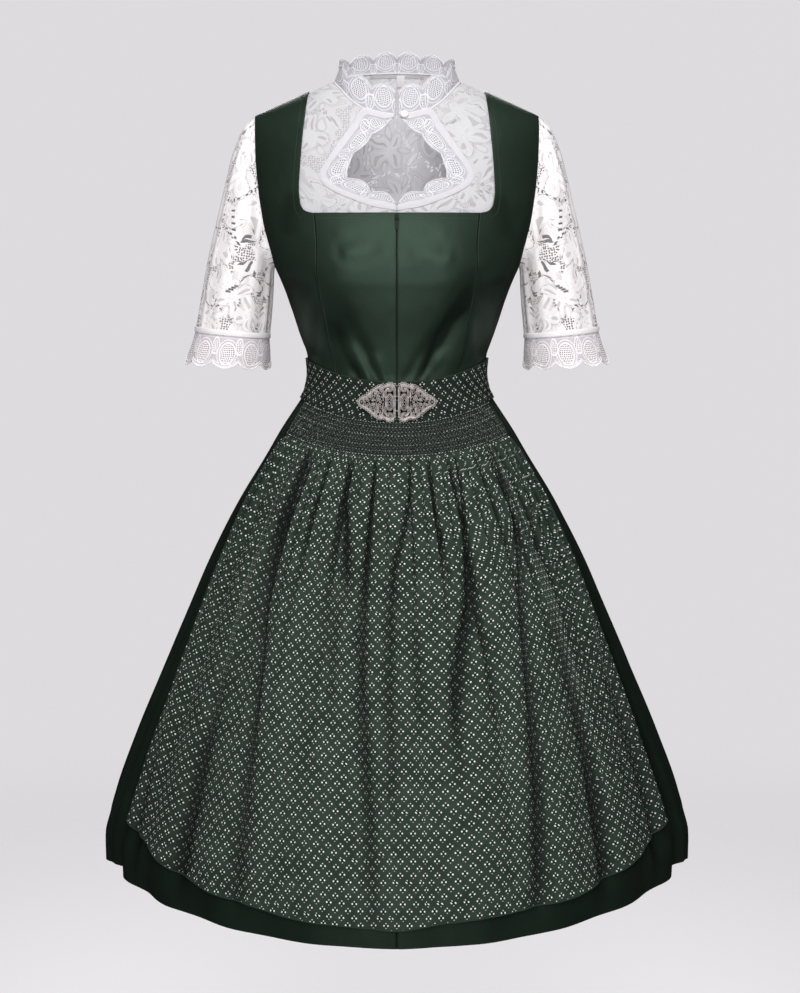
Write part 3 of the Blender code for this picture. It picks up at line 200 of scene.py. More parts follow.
def steps(count, edge=0.0):
    # evenly spaced shares from 0 to 1, with one more close to each end where the cloth turns under
    share = np.linspace(0, 1, count)
    return np.concatenate([[0, edge], share[1:-1], [1 - edge, 1]]) if edge else share


def blendColumns(start, end, share):
    # each row runs from its start to its end
    return start[:, None] * (1 - share) + end[:, None] * share


def arcs(point, axis):
    # running length of the grid lines along one axis
    step = span(np.diff(point, axis=axis))
    return np.concatenate([np.zeros_like(np.take(step, [0], axis)), np.cumsum(step, axis=axis)], axis=axis)


def clothUv(point, flip=1.0):
    # u = length along the row from its middle, v = length down the column
    across = arcs(point, 1)
    half = across[:, across.shape[1] // 2][:, None]
    return pack((across - half) * flip, arcs(point, 0))


def scallopRise(count, rise, power=0.8):
    # rise * |sin(pi count)| ^ power, one arch for each whole count
    return np.abs(np.sin(count * math.pi)) ** power * rise


def rollEdges(point, sides, deep=1.0 * mm, wide=2.4 * mm):
    # depth under the surface near the named sides: deep * exp(-(distance / wide)^2)
    across, down = arcs(point, 1), arcs(point, 0)
    distance = {"left": across, "right": across[:, -1:] - across, "first": down, "last": down[-1:] - down}
    return -deep * sum(np.exp(-(distance[side] / wide) ** 2) for side in sides.split())


def creaseField(u, v, rows):
    # sum of deep * exp(-(distance from the line / width)^2), faded at both ends; a negative depth is
    # a trough. The width grows along the line by its spread
    field = np.zeros_like(u)
    for u0, v0, u1, v1, wide, deep, spread in zip(*rows.values()):
        run = np.array([u1 - u0, v1 - v0])
        length = np.hypot(*run)
        run = run / length
        along = ((u - u0) * run[0] + (v - v0) * run[1]) / length
        off = (u - u0) * run[1] - (v - v0) * run[0]
        width = wide * (1 + spread * np.clip(along, 0, 1))
        fade = smoothStep(-0.12, 0.12, along) * (1 - smoothStep(0.7, 1.15, along))
        field += deep * fade * np.exp(-(off / width) ** 2)
    return field


def eachFold(rows):
    # the rows of each fold by themselves, in their order
    for number in np.unique(rows["fold"]):
        yield {name: column[rows["fold"] == number] for name, column in rows.items() if name != "fold"}


def foldField(turn, height, rows):
    # each fold is a line of degrees by height: deep * exp(-(|turn - line| / wide)^1.7), a valley if negative
    total = np.zeros_like(turn)
    for own in eachFold(rows):
        line, wide, deep = (readTable(own, name, height) for name in ("turn", "wide", "deep"))
        wide = wide * (1 - 0.64 * smoothStep(-0.64, -0.5, height))
        total += deep * np.exp(-(np.abs(turn - line) / wide) ** 1.7)
    return total


def valleyLines(turn, height, rows):
    # how much cloth each valley swallows: its greatest depth * exp(-(turn - its line)^2), at any height
    total = np.zeros_like(turn)
    for own in eachFold(rows):
        if own["deep"].min() < 0:
            off = (turn - readTable(own, "turn", height)) / 0.55
            total -= own["deep"].min() / 0.008 * np.exp(-off ** 2)
    return total


def hash01(value):
    # a repeatable share from 0 to 1 for each number
    return np.mod(np.sin(np.asarray(value, float) * 12.9898 + 4.137) * 43758.5453, 1)


def wander(value, seed, octaves=3):
    # smooth one-way unevenness, -1 to 1: sums of sines with odd steps
    total = sum(np.sin(value * (1.7 ** k) * 2.3 + seed * (k + 1.7)) / (k + 1) for k in range(octaves))
    return total / 1.6


made = {}


def gridObject(name, point, uv=None, closed=False, wall=0.0, outside=None, fold=None):
    # rows x columns of points become quads; doubles are merged on a closed grid, the faces are
    # turned to look away from the middle, and Solidify gives the wall inwards
    rows, columns = point.shape[:2]
    index = np.arange(rows * columns).reshape(rows, columns)
    quads = pack(index[:-1, :-1], index[:-1, 1:], index[1:, 1:], index[1:, :-1]).reshape(-1, 4)
    mesh = bpy.data.meshes.new(name)
    mesh.from_pydata(point.reshape(-1, 3).tolist(), [], quads.tolist())
    if uv is not None:
        layer = mesh.uv_layers.new(name="cloth")
        corner = np.zeros(len(mesh.loops), int)
        mesh.loops.foreach_get("vertex_index", corner)
        layer.data.foreach_set("uv", uv.reshape(-1, 2)[corner].astype(np.float32).ravel())
    # a fold value is kept as the point attribute "fold": the painted shade that the cloth finishes darken by
    if fold is not None:
        depth = mesh.attributes.new("fold", "FLOAT", "POINT")
        depth.data.foreach_set("value", fold.astype(np.float32).ravel())
    if outside is not None:
        a, b, c = (point.reshape(-1, 3)[quads[:, k]] for k in (0, 1, 2))
        facing = np.sum(np.cross(b - a, c - a) * outside.reshape(-1, 3)[quads[:, 0]])
        if facing < 0:
            mesh.flip_normals()
    if closed:
        form = bmesh.new()
        form.from_mesh(mesh)
        bmesh.ops.remove_doubles(form, verts=form.verts, dist=1e-6)
        form.to_mesh(mesh)
        form.free()
    return keepPiece(name, mesh, wall)


def keepPiece(name, mesh, wall=0.0):
    # an object at the origin for a finished mesh, shaded smooth
    mesh.shade_smooth()
    piece = bpy.data.objects.new(name, mesh)
    scene.collection.objects.link(piece)
    if wall:
        solid = piece.modifiers.new("wall", "SOLIDIFY")
        solid.thickness = wall
        solid.offset = -1
        solid.use_even_offset = False
    made[name] = piece
    return piece


def sweep(path, profile, closed=False, side=None):
    # ring of profile points carried along a path: path + side * profile x + up * profile y, with
    # side = tangent x a fixed direction
    path = np.asarray(path, float)
    tangent = np.gradient(path, axis=0)
    if closed:
        tangent = np.roll(path, -1, axis=0) - np.roll(path, 1, axis=0)
    tangent = unit(tangent)
    across = unit(np.cross(tangent, [0, 0, 1.0] if side is None else side))
    up = np.cross(across, tangent)
    return path[:, None] + across[:, None] * profile[None, :, :1] + up[:, None] * profile[None, :, 1:2]


def circle(radius, sides):
    # closed ring of points
    turn = np.linspace(0, 2 * math.pi, sides + 1)[:-1]
    return pack(np.cos(turn) * radius, np.sin(turn) * radius)


def turnedMesh(name, points, faces):
    # a piece of points and faces, the faces turned outwards
    mesh = bpy.data.meshes.new(name)
    mesh.from_pydata(points.reshape(-1, 3).tolist(), [], faces)
    form = bmesh.new()
    form.from_mesh(mesh)
    bmesh.ops.recalc_face_normals(form, faces=form.faces)
    form.to_mesh(mesh)
    form.free()
    return keepPiece(name, mesh)


def tubeMesh(name, paths, radius, sides=6, closed=False, side=None):
    # one joined mesh of capped tubes along several paths
    points, faces, start = [], [], 0
    for path in paths:
        ring = sweep(path, circle(radius, sides), closed, side)
        index = np.arange(len(path) * sides).reshape(-1, sides) + start
        nextRing = np.roll(index, -1, axis=0) if closed else index[1:]
        base = index if closed else index[:-1]
        quads = pack(base, np.roll(base, -1, 1), np.roll(nextRing, -1, 1), nextRing)
        faces += quads.reshape(-1, 4)[:, ::-1].tolist()
        if not closed:
            faces += [index[0].tolist(), index[-1][::-1].tolist()]
        points.append(ring.reshape(-1, 3))
        start += index.size
    return turnedMesh(name, np.concatenate(points), faces)


def beads(name, centres, axes, radii, rings=4, sides=8):
    # many small squashed balls as one mesh: centre + three axes * unit ball * radii
    lat = np.linspace(0, math.pi, rings + 1)[1:-1]
    lon = np.arange(sides) / sides * 2 * math.pi
    ball = pack(np.outer(np.sin(lat), np.cos(lon)), np.outer(np.sin(lat), np.sin(lon)),
            np.outer(np.cos(lat), np.ones(sides))).reshape(-1, 3)
    ball = np.concatenate([[[0, 0, 1.0]], ball, [[0, 0, -1.0]]])
    grid = np.arange(len(lat) * sides).reshape(len(lat), sides) + 1
    after = np.roll(grid, -1, axis=1)
    faces = pack(grid[:-1], grid[1:], after[1:], after[:-1]).reshape(-1, 4).tolist()
    faces += [[0, a, b] for a, b in zip(grid[0], after[0])]
    faces += [[len(ball) - 1, b, a] for a, b in zip(grid[-1], after[-1])]
    radii = np.broadcast_to(np.asarray(radii, float), (len(centres), 3))
    points = centres[:, None] + np.einsum("pk,nk,nkc->npc", ball, radii, axes)
    every = [[corner + n * len(ball) for corner in face] for n in range(len(centres)) for face in faces]
    return turnedMesh(name, points, every)


def operator(operation, turned=False):
    # a Math node of a wire and another value, or of that value and the wire
    if turned:
        return lambda wire, other: wire.math(operation, wire, first=other)
    return lambda wire, other: wire.math(operation, other)


class Wire:
    # one socket of a shader; an expression on wires adds its Math nodes
    def __init__(self, finish, socket):
        self.finish, self.socket = finish, socket

    def math(self, operation, *others, first=None):
        # operation(this wire or the first value, the others)
        values = [self if first is None else first, *others]
        return self.finish.node("Math", {"operation": operation}, dict(enumerate(values)))

    __add__ = __radd__ = operator("ADD")
    __mul__ = __rmul__ = operator("MULTIPLY")
    __sub__, __rsub__ = operator("SUBTRACT"), operator("SUBTRACT", True)
    __truediv__, __rtruediv__ = operator("DIVIDE"), operator("DIVIDE", True)
    __pow__, __mod__ = operator("POWER"), operator("FLOORED_MODULO")
    low, high = operator("MINIMUM"), operator("MAXIMUM")

    def __abs__(self):
        return self.math("ABSOLUTE")

    def wave(self, length):
        # sine with that wavelength
        return (self * (2 * math.pi / length)).math("SINE")

    def soft(self, start, end):
        # 0 at start and 1 at end, smooth between; start may be above end
        sockets = {"Value": self, "From Min": start, "From Max": end}
        return self.finish.node("MapRange", {"interpolation_type": "SMOOTHSTEP"}, sockets)


class Finish:
    # one material or world: values are wires, colours go through Mix, and node() adds anything else
    def __init__(self, name, kind="materials"):
        self.owner = getattr(bpy.data, kind).new(name)
        self.owner.use_nodes = True
        self.tree = self.owner.node_tree
        self.shader = self.tree.nodes.get("Principled BSDF")

    def node(self, kind, settings=None, sockets=None, out=0):
        # a node of that kind, its settings first, then its sockets
        fresh = self.tree.nodes.new("ShaderNode" + kind)
        for key, value in (settings or {}).items():
            setattr(fresh, key, value)
        for key, value in (sockets or {}).items():
            self.plug(fresh.inputs[key], value)
        return Wire(self, fresh.outputs[out])

    def plug(self, socket, value):
        # a wire is linked, a number or colour is set
        if isinstance(value, Wire):
            self.tree.links.new(value.socket, socket)
        elif isinstance(value, (tuple, list)):
            socket.default_value = (*value, 1) if len(value) == 3 and socket.type == "RGBA" else tuple(value)
        else:
            socket.default_value = value

    def cloth(self):
        # the cloth's own u and v, in metres
        both = self.node("UVMap", {"uv_map": "cloth"})
        return (both, *self.parts(both)[:2])

    def fold(self):
        # the painted shade kept as the "fold" attribute, 0 to 1: deepest in folds and creases, and along the
        # bodice's panel edges
        return self.node("Attribute", {"attribute_name": "fold"}, out=2).low(1)

    def place(self):
        # the point in the piece's own space
        return self.node("TexCoord", out=3)

    def vector(self, x=0.0, y=0.0, z=0.0):
        # three values as one vector
        return self.node("CombineXYZ", {}, {0: x, 1: y, 2: z})

    def parts(self, vector):
        # the vector's x, y and z
        split = self.node("SeparateXYZ", {}, {0: vector})
        return [Wire(self, split.socket.node.outputs[k]) for k in range(3)]

    def noise(self, vector, size, detail=2.0, rough=0.5):
        # fractal noise with features of that size
        sockets = {"Vector": vector, "Scale": 1 / size, "Detail": detail, "Roughness": rough}
        return self.node("TexNoise", {}, sockets)

    def cells(self, vector, size, loose, **settings):
        # distance to the nearest point of a flat scatter of that size, as a share of the size
        sockets = {"Vector": vector, "Scale": 1 / size, "Randomness": loose}
        return self.node("TexVoronoi", {"voronoi_dimensions": "2D", **settings}, sockets)

    def mix(self, share, low, high):
        # low * (1 - share) + high * share
        return self.node("Mix", {"data_type": "RGBA"}, {0: share, 6: low, 7: high}, out=2)

    def bump(self, height, deep, strength=1.0):
        # a normal from height * deep metres
        return self.node("Bump", {}, {"Height": height, "Distance": deep, "Strength": strength})

    def close(self, colour, roughness, normal=None, alpha=None, **uniform):
        # all that is given goes into the Principled shader
        given = {"Base Color": colour, "Roughness": roughness, "Normal": normal, "Alpha": alpha, **uniform}
        for name, value in given.items():
            if value is not None:
                self.plug(self.shader.inputs[name.replace("_", " ")], value)
        return self.owner


def linear(red, green, blue, light=1.0):
    # 0..255 screen values to linear light * light
    share = np.array([red, green, blue]) / 255
    return tuple(np.where(share <= 0.04045, share / 12.92, ((share + 0.055) / 1.055) ** 2.4) * light)


sateen = {"ground": (32, 44, 35), "deep": (26, 36, 29), "rough": 0.46, "thread": 0.42 * mm}


def sateenFinish(name, light=1.0, gloss=0.7):
    # colour = two greens mixed by slow noise, darkened by painted shade inside folds; height = fine twill
    #     # + threads, a smooth satin face
    finish = Finish(name)
    both, u, v = finish.cloth()
    slow = finish.noise(both, 60 * mm, 3)
    cloudy = finish.noise(finish.vector(u * 6, v), 8 * mm, 2)
    deep, ground = (linear(*sateen[key], light) for key in ("deep", "ground"))
    colour = finish.mix(slow.soft(0.3, 0.7) * 0.6 + cloudy * 0.2, deep, ground)
    # painted shade: the colour turns a near black green where the fold attribute is high
    colour = finish.mix(finish.fold(), colour, linear(9, 13, 10))
    twill = (u + v * 1.7).wave(sateen["thread"] * 2) * (v - u * 0.4).wave(sateen["thread"] * 3)
    thread = finish.noise(finish.vector(u * 3, v * 0.4), 0.6 * mm, 2)
    normal = finish.bump(twill * 0.4 + thread, 0.05 * mm, 0.5)
    rough = sateen["rough"] + cloudy * 0.1 - slow * 0.06
    return finish.close(colour, rough, normal, Specular_IOR_Level=gloss, Specular_Tint=(0.66, 1, 0.76, 1))


printed = {
    "ground": (46, 58, 49), "deep": (34, 45, 37), "dot": (250, 255, 250), "centre": (12, 17, 13),
    "across": 16.1 * mm, "down": 17.1 * mm, "side": 2.55 * mm, "above": 2.75 * mm, "below": 3.1 * mm,
    "radius": 0.92 * mm, "rough": 0.75,
}


def printFinish(name, bright=1.0, tone=1.0):
    # half-drop lattice: row = floor(v / half pitch), odd rows move half a pitch; each motif is the
    #     # smallest distance to four dots N, S, E, W round a dark centre. Painted shade darkens the colour
    #     inside folds
    finish = Finish(name)
    both, u, v = finish.cloth()
    wobble = finish.noise(both, 5 * mm, 2)
    pitch, half = printed["across"], printed["down"] / 2
    row = (v / half).math("FLOOR")
    shifted = u + (row % 2) * (pitch / 2)
    cell = (shifted / pitch).math("FLOOR")
    mark = finish.node("TexWhiteNoise", {"noise_dimensions": "2D"}, {"Vector": finish.vector(cell, row)})
    x = shifted - (cell + 0.5) * pitch + (mark - 0.5) * (0.5 * mm)
    y = v - (row + 0.5) * half
    edge = printed["radius"]
    aside = abs(x) - printed["side"]
    ew = (aside * aside + y * y * 0.75).math("SQRT").soft(edge + 0.35 * mm, edge - 0.35 * mm)
    north, south = y + printed["above"], y - printed["below"]
    top = (x * x + north * north).math("SQRT").soft(edge + 0.05 * mm, edge - 0.45 * mm)
    foot = (x * x + south * south).math("SQRT").soft(edge, edge - 0.45 * mm)
    dots = ew.high(top * 0.85).high(foot * 0.55)
    centre = (x * x + y * y).math("SQRT").soft(3.4 * mm, 1.6 * mm)
    worn = 0.6 + wobble * 0.5 + mark * 0.16
    deep, light = (linear(*printed[key], tone) for key in ("deep", "ground"))
    ground = finish.mix(finish.noise(both, 30 * mm, 4, 0.6).soft(0.3, 0.7), deep, light)
    ground = finish.mix(centre * 0.8, ground, linear(*printed["centre"]))
    colour = finish.mix((dots * worn).low(1), ground, linear(*printed["dot"], bright))
    # painted shade: the colour turns a near black green in folds, valley lines and gathers
    colour = finish.mix(finish.fold(), colour, linear(12, 16, 13))
    thread = u.wave(0.55 * mm) * v.wave(0.55 * mm)
    grain = finish.noise(finish.vector(u, v * 0.35), 0.7 * mm, 2)
    normal = finish.bump(thread * 0.4 + grain + dots * 0.4, 0.06 * mm, 0.7)
    return finish.close(colour, printed["rough"] - dots * 0.1, normal, Specular_IOR_Level=0.14)


lace = {
    "white": (250, 246, 247), "shade": (186, 180, 182), "dark": (112, 104, 108),
    "cell": 43 * mm, "petals": 4, "radius": 23.0 * mm, "jitter": 0.95,
}


def laceFinish(name, size=1.0, marks=1.0, holes=1.0, white=None, seed=0.0, sheer=0.0, glow=0.0):
    # each Voronoi cell holds one flower turned at random. Petal edge R(t) = radius * (0.40 + 0.60 *
    # |cos(2 t)|^0.9). Leaf windows are ellipses along each petal and between two of them, outlines and
    # arcs are bands at r = R + a distance, and bars and net cells fill the ground between the cells
    finish = Finish(name)
    both, u, v = finish.cloth()
    bent = finish.noise(both, 36 * mm * size, 1)
    bentToo = finish.noise(finish.vector(v, u + 3), 32 * mm * size, 1)
    s = u + (bent - 0.5) * (38 * mm * size) + seed
    t = v + (bentToo - 0.5) * (38 * mm * size)
    where = finish.vector(s, t)
    around = lace["cell"] * size
    near = finish.cells(where, around, lace["jitter"]).socket.node
    border = finish.cells(where, around, lace["jitter"], feature="DISTANCE_TO_EDGE") * around
    centre = finish.parts(Wire(finish, near.outputs["Position"]))
    luck = finish.parts(Wire(finish, near.outputs["Color"]))
    x, y = s - centre[0], t - centre[1]
    r = (x * x + y * y).math("SQRT")
    turn = y.math("ARCTAN2", x) + luck[0] * (2 * math.pi)
    radius = (lace["radius"] * size) * (0.74 + luck[1] * 0.4)
    fifth = 2 * math.pi / lace["petals"]
    lobe = abs((turn * (lace["petals"] / 2)).math("COSINE")) ** 0.9
    edge = radius * (0.4 + lobe * 0.6)
    off = ((turn + fifth / 2) % fifth) - fifth / 2
    along, aside = r * off.math("COSINE"), r * off.math("SINE")
    bow = aside + (along - radius * 0.6) * (along - radius * 0.6) / radius * 0.9
    window = (((along - radius * 0.6) / (radius * 0.25)) ** 2 + (bow / (radius * 0.085)) ** 2).soft(1.2, 0.75)
    offToo = (turn % fifth) - fifth / 2
    leafX, leafY = r * offToo.math("COSINE"), r * offToo.math("SINE")
    leaf = ((leafX - radius * 0.95) / (radius * 0.3)) ** 2 + (leafY / (radius * 0.15)) ** 2
    inside = (r - edge).soft(0.3 * mm, -0.3 * mm)
    leafLine = abs(leaf.math("SQRT") - 1).soft(0.3, 0.12) * (1 - inside)
    leafHole = leaf.soft(0.62, 0.4) * (1 - inside)
    dash = (turn * 27).math("SINE").soft(-0.1, 0.45)
    outline = abs(r - edge - 0.8 * mm).soft(0.95 * mm, 0.35 * mm)
    swoosh = abs(r - edge - 3.2 * mm).soft(0.8 * mm, 0.25 * mm) * luck[2].soft(0.25, 0.45)
    swooshToo = abs(r - edge - 5.4 * mm).soft(0.8 * mm, 0.25 * mm)
    fan = (off * 26).math("SINE").soft(0.55, 0.95) * inside * (r / edge).soft(0.35, 0.6) * (1 - window)
    heart = abs(r - radius * 0.15).soft(1.0 * mm, 0.4 * mm) * (turn * 5).math("SINE").soft(-0.2, 0.4)
    vein = abs(aside).soft(0.35 * mm, 0.1 * mm) * window
    patch = finish.noise(finish.vector(s, t + 7), 30 * mm * size, 1).soft(0.53, 0.58)
    cells = finish.cells(finish.vector(u, v), 3.3 * mm, 0.5) * (3.3 * mm)
    ground = (r - edge).soft(1.8 * mm, 2.8 * mm) * (1 - leaf.soft(1.5, 1.2))
    net = cells.soft(1.35 * mm, 0.95 * mm) * ground * patch * border.soft(8.0 * mm, 6.5 * mm)
    bars = (turn * 25).math("SINE").soft(-0.05, 0.4)
    rung = bars * border.soft(2.9 * mm, 2.2 * mm) * (1 - patch) * (r - edge).soft(1.2 * mm, 1.8 * mm)
    pores = finish.cells(where, 1.15 * mm, 0.2) * (1.15 * mm)
    fine = pores.soft(0.52 * mm, 0.3 * mm)
    dark = (net + rung + outline * dash * luck[2].soft(0.85, 0.7) * 0.8 + heart * 0.3).low(1) * marks
    some = luck[2].soft(0.3, 0.42)
    grey = (window * some * 0.46 + leafHole * (1 - some) * 0.34 + leafLine * 0.3 + swoosh * 0.34
            + swooshToo * 0.3 + outline * 0.36 + fine * ground * 0.1 + fan * 0.16).low(1)
    light = white or linear(*lace["white"])
    tint = light[0] / linear(*lace["white"])[0]
    colour = finish.mix(grey, light, linear(*lace["shade"], tint))
    colour = finish.mix(dark * 0.9, colour, linear(*lace["dark"]))
    height = inside * 0.6 - window * 0.6 - dark * 0.8 - grey * 0.4 + vein * 0.4 - fine * 0.12
    normal = finish.bump(height, 0.55 * mm, 0.9)
    gaps = (net + rung * 0.8).low(1) * 0.85 + window * some * 0.14 + fine * 0.08
    return finish.close(colour, 0.82, normal, (1 - sheer - gaps * holes).high(0), Specular_IOR_Level=0.2,
            Emission_Color=colour, Emission_Strength=glow)


def oval(x, y, acrossRadius, downRadius):
    # sqrt((x / radius)^2 + (y / radius)^2), 1 on the rim
    return ((x / acrossRadius) ** 2 + (y / downRadius) ** 2).math("SQRT")


edging = {"white": (213, 212, 216), "net": (172, 170, 175), "dark": (112, 110, 116)}


def edgingFinish(name, wide, high, white=None, holes=0.5, glow=0.04):
    # u counts scallops and v runs from the seam (0) to the scalloped edge (1); wide and high are one
    # scallop's size. Each lobe has an oval of dark dotted net with rings, a small oval lies between
    finish = Finish(name)
    u, v = finish.cloth()[1:]
    number = u.math("FLOOR")
    s = (u - number - 0.5) * wide
    y = v * high
    luck = finish.node("TexWhiteNoise", {"noise_dimensions": "1D"}, {"W": number})
    flat = finish.vector(u * wide, y)
    big = oval(s - (luck - 0.5) * (wide * 0.08), y - high * 0.56, wide * 0.27, high * 0.3)
    small = oval((abs(s) - wide * 0.5) * -1, y - high * 0.36, wide * 0.12, high * 0.24)
    bent = finish.noise(flat, 14 * mm, 1) * (5 * mm)
    dot = ((s + y + bent).wave(5.0 * mm) * (s - y + bent).wave(5.0 * mm)).soft(0.1, 0.5)
    fine = ((s * 0.8 + y + bent).wave(3.4 * mm) * (s - y * 0.8).wave(3.4 * mm)).soft(0.0, 0.6)
    inBig, inSmall = big.soft(1.0, 0.93), small.soft(1.0, 0.9)
    rings = (abs(big - 1.14).soft(0.13, 0.06) + abs(small - 1.25).soft(0.2, 0.1)
            + abs(big - 1.5).soft(0.11, 0.05) * 0.8).low(1)
    border = v.soft(0.9, 0.94)
    seam = v.soft(0.1, 0.06)
    outer = (1 - inBig) * (1 - inSmall)
    dark = dot * (inBig + inSmall * 0.8).low(1) * (1 - border)
    soft = fine * outer * (1 - rings) * (1 - seam)
    white = white or linear(*edging["white"])
    netColour = tuple(a * b / linear(*edging["white"])[0] for a, b in zip(linear(*edging["net"]), white))
    colour = finish.mix((outer * (1 - rings) * (1 - border) * 0.72 + soft * 0.5).low(1), white, netColour)
    colour = finish.mix(dark * 0.85, colour, linear(*edging["dark"]))
    height = rings * 0.8 + border * 0.5 - dark * 0.9 - soft * 0.4 + seam * 0.3
    normal = finish.bump(height, 0.45 * mm, 0.9)
    alpha = 1 - (dark * 0.75 + soft * 0.55) * holes
    return finish.close(colour, 0.8, normal, alpha, Specular_IOR_Level=0.2, Emission_Color=colour,
            Emission_Strength=glow)


def tapeFinish(name, white=(206, 204, 208)):
    # plain woven tape: ribs across and fine threads
    finish = Finish(name)
    both, u, v = finish.cloth()
    ribs = v.wave(1.1 * mm) * 0.5 + u.wave(0.6 * mm) * 0.3
    cloudy = finish.noise(both, 12 * mm, 2)
    colour = finish.mix(cloudy.soft(0.3, 0.8), linear(*white, 0.93), linear(*white))
    return finish.close(colour, 0.8, finish.bump(ribs, 0.08 * mm, 0.6), Specular_IOR_Level=0.25,
            Sheen_Weight=0.1)


def stitchFinish(name, colour, rough=0.55):
    # sewing thread: slow noise over its colour and a twisted ply in the bump
    finish = Finish(name)
    place = finish.place()
    shade = finish.noise(place, 3 * mm, 2)
    ply = finish.noise(place, 0.5 * mm, 1)
    colour = finish.mix(shade, linear(*colour, 0.75), linear(*colour))
    return finish.close(colour, rough, finish.bump(ply, 0.1 * mm, 0.6))


def silverFinish(name, bright=(232, 222, 220), dark=(70, 64, 63), low=0.38):
    # oxidised silver: bright and dark mixed by noise
    finish = Finish(name)
    place = finish.place()
    tarnish = finish.noise(place, 5 * mm, 3, 0.6)
    specks = finish.noise(place, 0.9 * mm, 2)
    worn = (tarnish * 0.6 + specks * 0.5).soft(low - 0.15, low + 0.25)
    colour = finish.mix(worn, linear(*dark), linear(*bright))
    rough = 0.28 + (1 - worn) * 0.3
    return finish.close(colour, rough, finish.bump(specks, 0.12 * mm, 0.5), Metallic=0.92)


def zipFinish(name, tone=(34, 40, 36)):
    # dark lacquered metal with brushed wear
    finish = Finish(name)
    place = finish.place()
    wear = finish.noise(place, 2.2 * mm, 3, 0.6)
    colour = finish.mix(wear.soft(0.45, 0.75), linear(*tone, 0.55), linear(*tone))
    return finish.close(colour, 0.3 + wear * 0.2, finish.bump(wear, 0.05 * mm, 0.5), Metallic=0.75)


def pearlFinish(name):
    # nacre: slow pinkish and greenish clouds under a clear coat
    finish = Finish(name)
    place = finish.place()
    cloudy = finish.noise(place, 4 * mm, 3)
    layers = finish.noise(place, 1.2 * mm, 2)
    colour = finish.mix(cloudy.soft(0.3, 0.7), linear(250, 244, 244), linear(240, 243, 241))
    return finish.close(colour, 0.22 + layers * 0.08, finish.bump(layers, 0.02 * mm, 0.5), Coat_Weight=0.6,
            Coat_Roughness=0.1, Sheen_Weight=0.1)


def paint(piece, finish):
    # one named finish over the whole piece
    piece.data.materials.clear()
    piece.data.materials.append(finishes[finish])


def dress(piece, finish, slot, *nodes, body="garment"):
    # finish, body and the CAD nodes that the piece stands for, which are hidden; slot is not used
    paint(piece, finish)
    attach(piece, body)
    if nodes:
        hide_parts(*nodes)
    return piece


def sheetPiece(name, point, uv, normal, wall, finish, slot, *nodes, flip=1, closed=False, fold=None):
    # a dressed grid, mirrored in x by flip
    piece = gridObject(name, point * [flip, 1, 1], uv, closed, wall, normal * [flip, 1, 1], fold)
    return dress(piece, finish, slot, *nodes)


def cordPiece(name, lines, radius, finish, slot, sides=6, closed=False, side=None):
    # a dressed tube along each line
    return dress(tubeMesh(name, lines, radius, sides, closed, side), finish, slot)


def declare(point):
    # measures the grid's widest row and longest column and its quads' diagonals; nothing is returned or kept
    across, down = arcs(point, 1)[:, -1].max(), arcs(point, 0)[-1].max()
    a = point[1:, 1:] - point[:-1, :-1]
    b = point[:-1, 1:] - point[1:, :-1]


bodice = {"waist": -0.378, "neckline": -0.151, "wall": 1.2 * mm, "rows": 72, "columns": 32}
frontSeam = table("z.mm x.mm", (
    (-410, 68), (-380, 75), (-330, 88), (-300, 95.5), (-255, 105), (-225, 108), (-190, 107.5),
    (-151, 110.5),
))
backSeam = table("z.mm x.mm", ((-410, 48), (-340, 58), (-255, 78), (-190, 94), (-151, 104)))
strapEdge = table("z.mm x.mm", (
    (-151, 111), (-149.7, 119), (-145.5, 125.5), (-137, 129.8), (-120, 131.2), (-90, 129.8), (-40, 126.2),
    (18, 121.2),
))
# drag lines on the front, signed x and z, from where they start to where they run out
dragLines = table("u0.mm v0.mm u1.mm v1.mm wide.mm deep.mm spread", (
    (36, -372, 104, -238, 8.5, -6.2, 0.9), (34, -378, 64, -334, 4.6, 2.8, 0.5),
    (16, -380, 40, -340, 5.2, 1.6, 0.7), (-34, -378, -72, -322, 6.9, 4, 0.6),
    (-50, -374, -92, -292, 7.8, -4, 0.8), (-22, -374, -84, -262, 8.1, -2.8, 0.7),
    (-14, -380, -34, -338, 5.6, 3.1, 0.6), (66, -372, 108, -290, 9, 2.8, 0.6),
    (12, -376, 60, -296, 6.7, -2.2, 0.7), (-118, -352, -104, -262, 9.5, -2.8, 0.5),
    (120, -350, 112, -265, 9.5, -2.9, 0.4), (150, -236, 112, -262, 7.8, -2.8, 0.6),
    (-148, -240, -112, -258, 7.3, -2.5, 0.6), (-72, -205, -20, -195, 10.1, 1.9, 0.6),
    (74, -212, 16, -204, 10.1, 1.7, 0.6), (140, -130, 150, -190, 11.2, -2.2, 0.3),
    (-142, -126, -150, -185, 11.2, -2.2, 0.3),
))
backLines = table("u0.mm v0.mm u1.mm v1.mm wide.mm deep.mm spread", (
    (20, -372, 34, -300, 7, -1.1, 0.6), (-24, -374, -40, -306, 7, -1.2, 0.6),
    (70, -370, 92, -298, 8, 1.1, 0.5), (-66, -368, -90, -290, 8, 1, 0.5),
    (130, -240, 80, -268, 8, -1, 0.6), (-126, -238, -78, -272, 8, -1.1, 0.6),
    (4, -330, 50, -345, 5.5, -0.9, 0.6), (-2, -318, -52, -338, 5.5, -0.8, 0.6),
))


def armholeTurn(height):
    # 0 at the underarm, the whole turn from the chest line up, a quarter circle between
    drop = np.clip((figure["chest"] - height) / (figure["chest"] - figure["underarm"]), 0, 1)
    return np.where(height < figure["underarm"], 0.0, figure["holeTurn"] * np.sqrt(1 - drop ** 2))


def middlePanel(seam, ahead):
    # z from the waist to the neckline, x from the centre line to the seam
    z = bodice["waist"] + (bodice["neckline"] - bodice["waist"]) * steps(bodice["rows"], 0.004)
    x = blendColumns(np.zeros_like(z), readTable(seam, "x", z), steps(bodice["columns"], 0.01))
    return chart(x, np.repeat(z[:, None], x.shape[1], axis=1), ahead)


